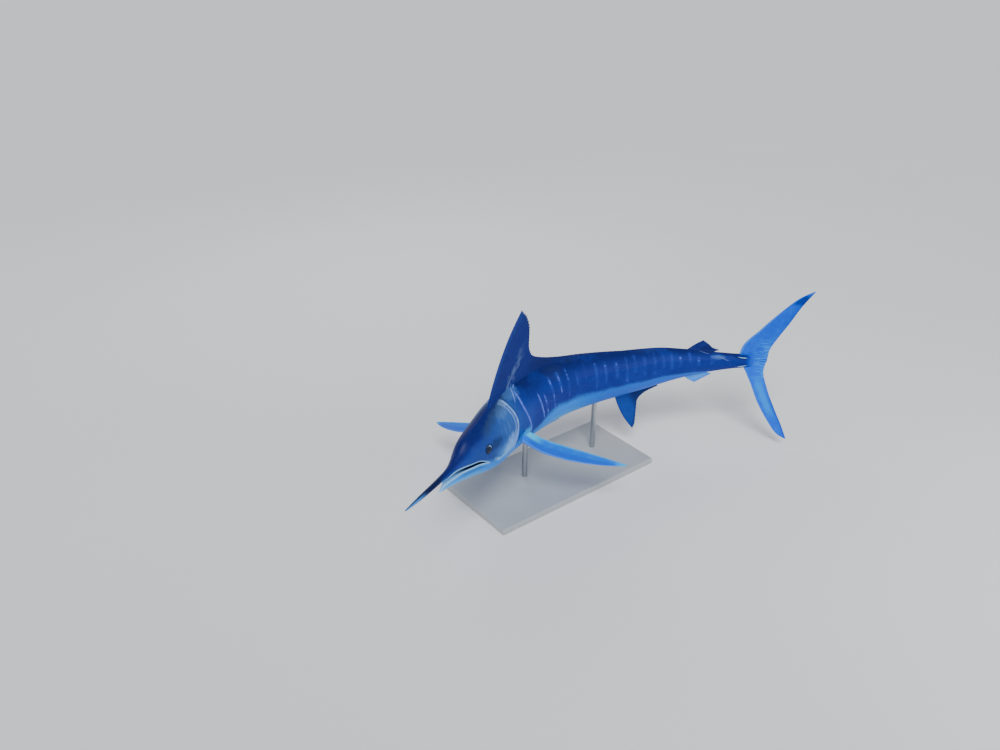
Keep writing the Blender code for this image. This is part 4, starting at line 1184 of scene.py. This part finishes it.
# %% Colours of the fins
LOBE_ROOT = ((0.60, 0.30), (0.13, 0.05), 0.60, "#0644b0", "plain")
BRONZE_RAYS = ((0.220, 0.265, 0.295, 0.340), (-0.2, 0.0, 0.45, 0.95), 0.70, "#5c76a8", "along")
REAR_RAYS = ((0.40, 0.55), ALL_OVER, 0.50, "#0b164c", "plain")
back_fin = fin_finish("ink_blue_fin_membrane", "#102474", [
    BRONZE_RAYS,
    REAR_RAYS,
    ((0.06, 0.02), (0.1, 0.3, 0.99, 1.2), 0.35, "#28489c", "plain"),
], "#1c348c", 0.12)
small_back_fin = fin_finish("plain_ink_blue_fin_membrane", "#0e1f68", [REAR_RAYS], "#1c348c", 0.15)
anal_fin = fin_finish("grey_blue_fin_membrane", "#123c98", [
    ((0.30, 0.55), ALL_OVER, 0.80, "#0a1850", "plain"),
    (ALL_OVER, (0.80, 1.0), 0.50, "#0d1c5c", "plain"),
], "#2050a8", 0.20)
tail_fin = fin_finish("azure_tail_membrane", "#005cec", [
    ((0.35, 0.75), (0.34, 0.20), 0.70, "#38b0ff", "across"),
    ((0.15, 0.45, 0.60, 0.95), (0.15, 0.35, 0.60, 0.80), 0.75, "#089aff", "plain"),
    ((0.75, 0.95), (0.35, 0.60), 0.65, "#0448c0", "plain"),
    ((0.10, 0.03), (0.02, 0.10), 0.50, "#50a8ff", "plain"),
    LOBE_ROOT,
], "#1c90ff", 0.15)
upper_tail_fin = fin_finish("azure_tail_membrane_with_navy_tip", "#0054dc", [
    ((0.35, 0.75), (0.36, 0.22), 0.70, "#30a0ff", "across"),
    ((0.60, 0.90), (0.40, 0.66), 0.45, "#0648b8", "plain"),
    ((0.10, 0.03), (0.02, 0.10), 0.55, "#4ca0ff", "plain"),
    LOBE_ROOT,
    ((0.10, 0.24), (0.77, 0.83, 0.89, 0.94), 0.80, "#08248c", "plain"),
    (ALL_OVER, (0.94, 0.98), 0.60, "#5ca8f4", "plain"),
], "#1680f8", 0.15)
side_fin = fin_finish("sky_blue_fin_membrane", "#0070f4", [
    ((0.62, 0.30), (0.02, 0.12, 0.80, 0.95), 0.60, "#0c50dc", "plain"),
    ((0.80, 0.96), (0.02, 0.12), 0.85, "#00b4ff", "plain"),
    ((0.35, 0.70), (0.22, 0.10), 0.95, "#20d4ff", "plain"),
    ((0.07, 0.02), ALL_OVER, 0.50, "#5098ff", "plain"),
    (ALL_OVER, (0.88, 0.97), 0.80, "#18c0ff", "plain"),
], "#1c90ff", 0.20)
pale_fin = fin_finish("pearl_fin_membrane", "#3c94f4", [
    (ALL_OVER, (0.55, 1.0), 0.60, "#1c68dc", "plain"),
], "#6cb0ff", 0.25)
fin_finishes = (back_fin, small_back_fin, anal_fin, tail_fin, upper_tail_fin, side_fin, pale_fin)
print("fin finishes:", ", ".join(finish.name for finish in fin_finishes))

# %% [markdown]
# ## Fins of the back and belly
#
# These stand in the fish's middle plane. The first dorsal fin starts over the gill cover as a tall sharp
# lobe, falls away at once and runs on low towards the tail. Its rays lean back. Each fin's free edge is
# given by a few points, front to rear, and its rays run up to it from an even spread along the base, closer
# in front.

# %% Median fins
# node, base stations, free edge as (share of base, station, height), rays, rows, side, half thicknesses at
# root, tip, ridge and leading edge, how far the rays bow, finish, slot
MEDIAN_FINS = [
    ("dorsal_fin_first", (0.188, 0.610),
     [(0.0, 0.327, 0.2375), (0.05, 0.346, 0.2190), (0.14, 0.3565, 0.1850), (0.26, 0.3545, 0.1450),
      (0.36, 0.362, 0.1200), (0.46, 0.392, 0.1010), (0.62, 0.456, 0.0810), (0.76, 0.515, 0.0710),
      (1.0, 0.618, 0.0569)],
     38, 80, 1, (0.0028, 0.0007, 0.0010, 0.0060), 0.010, back_fin, "dark_fin"),
    ("dorsal_fin_second", (0.795, 0.852),
     [(0.0, 0.841, 0.0560), (0.4, 0.856, 0.0440), (0.7, 0.866, 0.0345), (1.0, 0.884, 0.0275)],
     7, 40, 1, (0.0020, 0.0006, 0.0006, 0.0030), 0.003, small_back_fin, "dark_fin"),
    ("anal_fin_first", (0.612, 0.716),
     [(0.0, 0.667, -0.1640), (0.10, 0.6725, -0.1500), (0.25, 0.6735, -0.1200), (0.45, 0.6745, -0.0880),
      (0.65, 0.690, -0.0680), (1.0, 0.728, -0.0520)],
     16, 60, -1, (0.0026, 0.0007, 0.0009, 0.0050), 0.006, anal_fin, "dark_fin"),
    ("anal_fin_second", (0.792, 0.840),
     [(0.0, 0.824, -0.0535), (0.5, 0.843, -0.0450), (1.0, 0.866, -0.0340)],
     7, 40, -1, (0.0020, 0.0006, 0.0006, 0.0030), 0.003, pale_fin, "pale_fin"),
]
COLUMNS_A_RAY = 8
FIN_ROOT_DEPTH = 0.006
NOTCH = 0.018
FOOT_SWELLING = 0.0035
FOOT_HEIGHT = 0.006

for node, fin_base, free_edge, rays, rows, sign, sizes, bow, finish, slot in MEDIAN_FINS:
    edge_station = smooth_line([(share, place) for share, place, _ in free_edge])
    edge_height = smooth_line([(share, rise) for share, _, rise in free_edge])
    root_line = back_line if sign > 0 else belly_line
    x, v = fin_grid(rays * COLUMNS_A_RAY, rows)
    share = x**1.25
    root_station = fin_base[0] + (fin_base[1] - fin_base[0]) * share
    root_height = root_line(root_station) - sign * FIN_ROOT_DEPTH
    notch = 1 - NOTCH * (1 - ray_ridge(x, rays)) * smooth_step(v, 0.6, 1.0) * smooth_step(x, 0.0, 0.05)
    up_share = v**0.9 * notch
    bulge = bow * 4 * up_share * (1 - up_share) * (1 - share) ** 2
    fin_station = root_station + (edge_station(share) - root_station) * up_share - bulge
    fin_height = root_height + (edge_height(share) - root_height) * up_share + sign * bulge * 0.5
    above_skin = (np.abs(fin_height) - np.abs(root_line(fin_station))) * BODY_LENGTH
    half = half_thickness(x, v, rays, sizes, 0.05)
    half = half + FOOT_SWELLING * np.exp(-np.maximum(above_skin, 0) / FOOT_HEIGHT) * smooth_step(x, 0, 0.04)
    make_fin(at(fin_station, 0.0, fin_height), frame_at(fin_station)[1], half, x, v, rays, finish, node)

# %% [markdown]
# ## Tail, pectoral and pelvic fins
#
# In these the rays fan out from a narrow root and run to the tip, so the grid is laid between a leading and
# a trailing edge. The tail's lobes are two tall sickles that meet at the fork. The pectorals are long stiff
# blades that the fish holds out like wings, and the pelvics are two thin straps that lie back along the
# belly.

# %% Tail fin
CAUDAL_REACH = 0.190
CAUDAL_RAYS = 24
CAUDAL_SIZES = (0.0055, 0.0008, 0.0009, 0.0085)
CAUDAL_NOTCH = 0.012
GAP = 0.0003
# side, node, finish, and the leading and trailing edges as (height above or below the middle, station)
LOBES = [
    (1, "caudal_fin_upper", upper_tail_fin,
     [(0.0, 0.930), (0.034, 0.9374), (0.079, 0.9746), (0.126, 1.0131), (0.168, 1.0498), (0.190, 1.0775)],
     [(0.0, 1.0000), (0.028, 1.0030), (0.063, 1.0180), (0.100, 1.0368), (0.150, 1.0590), (0.190, 1.0805)]),
    (-1, "caudal_fin_lower", tail_fin,
     [(0.0, 0.936), (0.020, 0.9470), (0.058, 0.9668), (0.1065, 0.9906), (0.153, 1.0236), (0.184, 1.0557),
      (0.190, 1.0760)],
     [(0.0, 0.9985), (0.022, 0.9960), (0.067, 1.0103), (0.116, 1.0357), (0.157, 1.0613), (0.190, 1.0805)]),
]

for sign, node, finish, leading_edge, trailing_edge in LOBES:
    x, v = fin_grid(CAUDAL_RAYS * 6, 110)
    rise = CAUDAL_REACH * v
    leading, trailing = smooth_line(leading_edge)(rise), smooth_line(trailing_edge)(rise)
    fade = smooth_step(x, 0.9, 1.0) * smooth_step(v, 0.05, 0.15)
    fin_station = leading + (trailing - leading) * x * (1 - CAUDAL_NOTCH * (1 - ray_ridge(v, 30)) * fade)
    half = half_thickness(x, v, CAUDAL_RAYS, CAUDAL_SIZES, 0.05)
    normals = np.broadcast_to(frame_at(1.0)[1], (*x.shape, 3))
    place = at(fin_station, 0.0, sign * np.maximum(rise, GAP / 2 / BODY_LENGTH))
    make_fin(place, normals, half, x, v, CAUDAL_RAYS, finish, node)

# %% Pectoral fins
PECTORAL_LENGTH = 0.455
PECTORAL_ROOT = (0.286, -0.0405)
PECTORAL_ROOT_DEPTH = 0.75
# the edges: (share of the length, metres behind the middle of the root)
PECTORAL_LEADING = [(0.0, -0.044), (0.09, -0.0615), (0.25, -0.0830), (0.40, -0.0835), (0.57, -0.0730),
                    (0.75, -0.0520), (0.90, -0.0260), (1.0, -0.0030)]
PECTORAL_TRAILING = [(0.0, 0.032), (0.10, 0.0220), (0.20, 0.0100), (0.32, 0.0060), (0.65, 0.0070),
                     (0.85, 0.0050), (1.0, 0.0030)]
PECTORAL_RAYS = 19
PECTORAL_SIZES = (0.0035, 0.0007, 0.0007, 0.0065)
# the fleshy foot: half thickness, how far it reaches along the fin, and over what length it fades
PECTORAL_FLESH = (0.0050, 0.024, 0.014)
# side, node, direction as shares backwards, outwards and upwards
PECTORALS = [(1, "pectoral_fin_left", (0.42, 0.87, -0.24)),
             (-1, "pectoral_fin_right", (0.20, 0.90, -0.385))]

for sign, node, (backwards, outwards, upwards) in PECTORALS:
    x, v = fin_grid(PECTORAL_RAYS * 6, 100)
    root_station, root_height = PECTORAL_ROOT
    _, left, up, back = frame_at(root_station)
    root = at(root_station, sign * PECTORAL_ROOT_DEPTH * side_line(root_station), root_height)
    span = unit(backwards * back + sign * outwards * left + upwards * up)
    chordwise = unit(back - span * np.dot(back, span))
    full_length = PECTORAL_LENGTH + (1 - PECTORAL_ROOT_DEPTH) * side_line(root_station) * BODY_LENGTH
    leading, trailing = smooth_line(PECTORAL_LEADING)(v), smooth_line(PECTORAL_TRAILING)(v)
    chord = leading + (trailing - leading) * x
    thick, reach, fade = PECTORAL_FLESH
    flesh = thick * np.exp(-np.maximum(v * full_length - reach, 0) / fade)
    half = half_thickness(x, v, PECTORAL_RAYS, PECTORAL_SIZES, 0.06)
    half = half + flesh * np.sqrt(np.clip(4 * x * (1 - x), 0, 1))
    place = root + span * (full_length * v)[..., None] + chordwise * chord[..., None]
    normals = np.broadcast_to(np.cross(span, chordwise), (*x.shape, 3))
    make_fin(place, normals, half, x, v, PECTORAL_RAYS, side_fin, node)

# %% Pelvic fins
PELVIC_START = 0.268
PELVIC_END = 0.445
PELVIC_SIDE = 0.0125
PELVIC_SUNK = 0.0060
PELVIC_LIFT = 0.0078
PELVIC_LIFT_LENGTH = 0.20
PELVIC_HALF_CHORDS = (0.0035, 0.0009)
PELVIC_RAYS = 3
PELVIC_SIZES = (0.0022, 0.0010, 0.0006, 0.0026)

for sign, node in ((1, "pelvic_fin_left"), (-1, "pelvic_fin_right")):
    x, v = fin_grid(PELVIC_RAYS * 10, 90)
    fin_station = PELVIC_START + (PELVIC_END - PELVIC_START) * v
    fin_side = PELVIC_SIDE * (1 + 0.25 * v)
    sine = np.minimum(1.0, fin_side / side_line(fin_station)) ** (1 / ROUNDNESS)
    _, belly_height = oval(back_line(fin_station), belly_line(fin_station), side_line(fin_station),
                           math.pi - np.arcsin(sine))
    drop = PELVIC_LIFT * np.minimum(1.0, v / PELVIC_LIFT_LENGTH) - PELVIC_SUNK
    wide, narrow = PELVIC_HALF_CHORDS
    half_chord = (wide + (narrow - wide) * v) * (1 - 2 * x)
    place = at(fin_station, sign * (fin_side + half_chord), belly_height - drop)
    half = half_thickness(x, v, PELVIC_RAYS, PELVIC_SIZES, 0.2)
    make_fin(place, frame_at(fin_station)[2], half, x, v, PELVIC_RAYS, pale_fin, node)

# %% [markdown]
# ## Eyes
#
# A marlin's eye is large and nearly flat, with a deep blue-black pupil and a dusky blue iris. A museum eye is
# painted glass. Here it is one smooth lens, with the iris drawn by distance and direction from its middle,
# and a narrow bright line at its upper rear is a painted highlight, light caught by the eye drawn into its
# colour; a weak smooth coat gives it a small clean gleam.

# %% Eye finish
glass, tree, shader, spot = new_finish("painted_glass_eye")
grain = add(tree, "TexNoise", {"Vector": spot, "Scale": 260.0, "Detail": 3.0}).outputs["Fac"]
wavy = total(tree, "radius", (grain, 0.08))
eye_colour = layered(tree, "#03050b", [
    ("#0c1a3a", (wavy, 0.40, 0.46)),  # iris
    ("#34548c", (wavy, 0.40, 0.45, 0.47, 0.53), 0.5),  # thin line round the pupil
    ("#1c3460", grain, 0.20),
    ("#0d1530", (wavy, 0.70, 0.86)),  # rim
    # painted highlight: a bright line at the upper rear of the iris stands for light the eye catches
    ("#a8ccf4", (wavy, 0.56, 0.62, 0.70, 0.76), ("upper_rear", 0.55, 0.92), 0.8),  # bright line
])
fill(shader, {"Base Color": eye_colour, "Roughness": mask(tree, grain, 0.15)})
fill(shader, {"Specular IOR Level": 0.12, "Coat Weight": 0.15, "Coat Roughness": 0.03})
print("eye finish:", len(tree.nodes), "nodes")

# %% Eyes
# towards the painted highlight at the upper rear of the iris: shares backwards and upwards
UPPER_REAR = (0.70, 0.71)

for (centre, along, upward, out), node in zip(eye_frames, ("eye_left", "eye_right")):
    mesh = bpy.data.meshes.new(node + "_glass")
    form = bmesh.new()
    bmesh.ops.create_uvsphere(form, u_segments=96, v_segments=64, radius=1.0)
    flat = np.array([v.co for v in form.verts])
    axes = np.array([along * EYE_RADIUS, upward * EYE_RADIUS, out * EYE_DEPTH])
    lens = centre - out * EYE_SUNK + flat @ axes
    for vertex, point in zip(form.verts, lens):
        vertex.co = point
    form.normal_update()
    bmesh.ops.recalc_face_normals(form, faces=form.faces[:])
    form.to_mesh(mesh)
    form.free()
    mesh.shade_smooth()
    radius = np.hypot(flat[:, 0], flat[:, 1])
    store(mesh, "radius", radius + (flat[:, 2] < 0))
    store(mesh, "upper_rear", flat[:, :2] @ UPPER_REAR / np.maximum(radius, 0.01))
    mesh.materials.append(glass)
    eye = add_object(node + "_glass", mesh)
    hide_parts(node)
    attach(eye, "root")
    print(eye.name, len(mesh.polygons), "faces")

# %% [markdown]
# ## The stand
#
# The base is a cast aluminium plate with a sprayed satin finish, and the rods are brushed stainless steel.
# Both keep the solids as they are, because a plate and a rod need no finer shape: only their finish is new.
# Spray paint shows as a faint orange peel about 2 mm wide, and brushing as fine scratches round the rods.

# %% Stand finishes
paint, tree, shader, spot = new_finish("satin_sprayed_aluminium")
peel = add(tree, "TexNoise", {"Vector": spot, "Scale": 500.0, "Detail": 1.0}).outputs["Fac"]
dust = add(tree, "TexNoise", {"Vector": spot, "Scale": 7.0, "Detail": 5.0}).outputs["Fac"]
bump = add(tree, "Bump", {"Height": peel, "Distance": 0.0002, "Strength": 0.25})
fill(shader, {"Base Color": layered(tree, "#a6abb0", [("#b2b7bc", dust)]), "Normal": bump.outputs["Normal"],
              "Roughness": total(tree, (dust, 0.15), 0.34)})
steel, tree, shader, spot = new_finish("brushed_stainless_steel")
scratch_place = add(tree, "Mapping", {"Vector": spot, "Scale": (30.0, 30.0, 2500.0)}).outputs[0]
scratches = add(tree, "TexNoise", {"Vector": scratch_place, "Scale": 1.0, "Detail": 3.0}).outputs["Fac"]
fill(shader, {"Base Color": layered(tree, "#b9bcc0", [("#aaadb1", scratches)]), "Metallic": 1.0,
              "Roughness": total(tree, (scratches, 0.2), 0.18)})
for node, finish in (("stand_base", paint), ("stand_rod_front", steel), ("stand_rod_rear", steel)):
    frame["nodes"][node].data.materials.clear()
    frame["nodes"][node].data.materials.append(finish)
print("stand:", paint.name, steel.name)
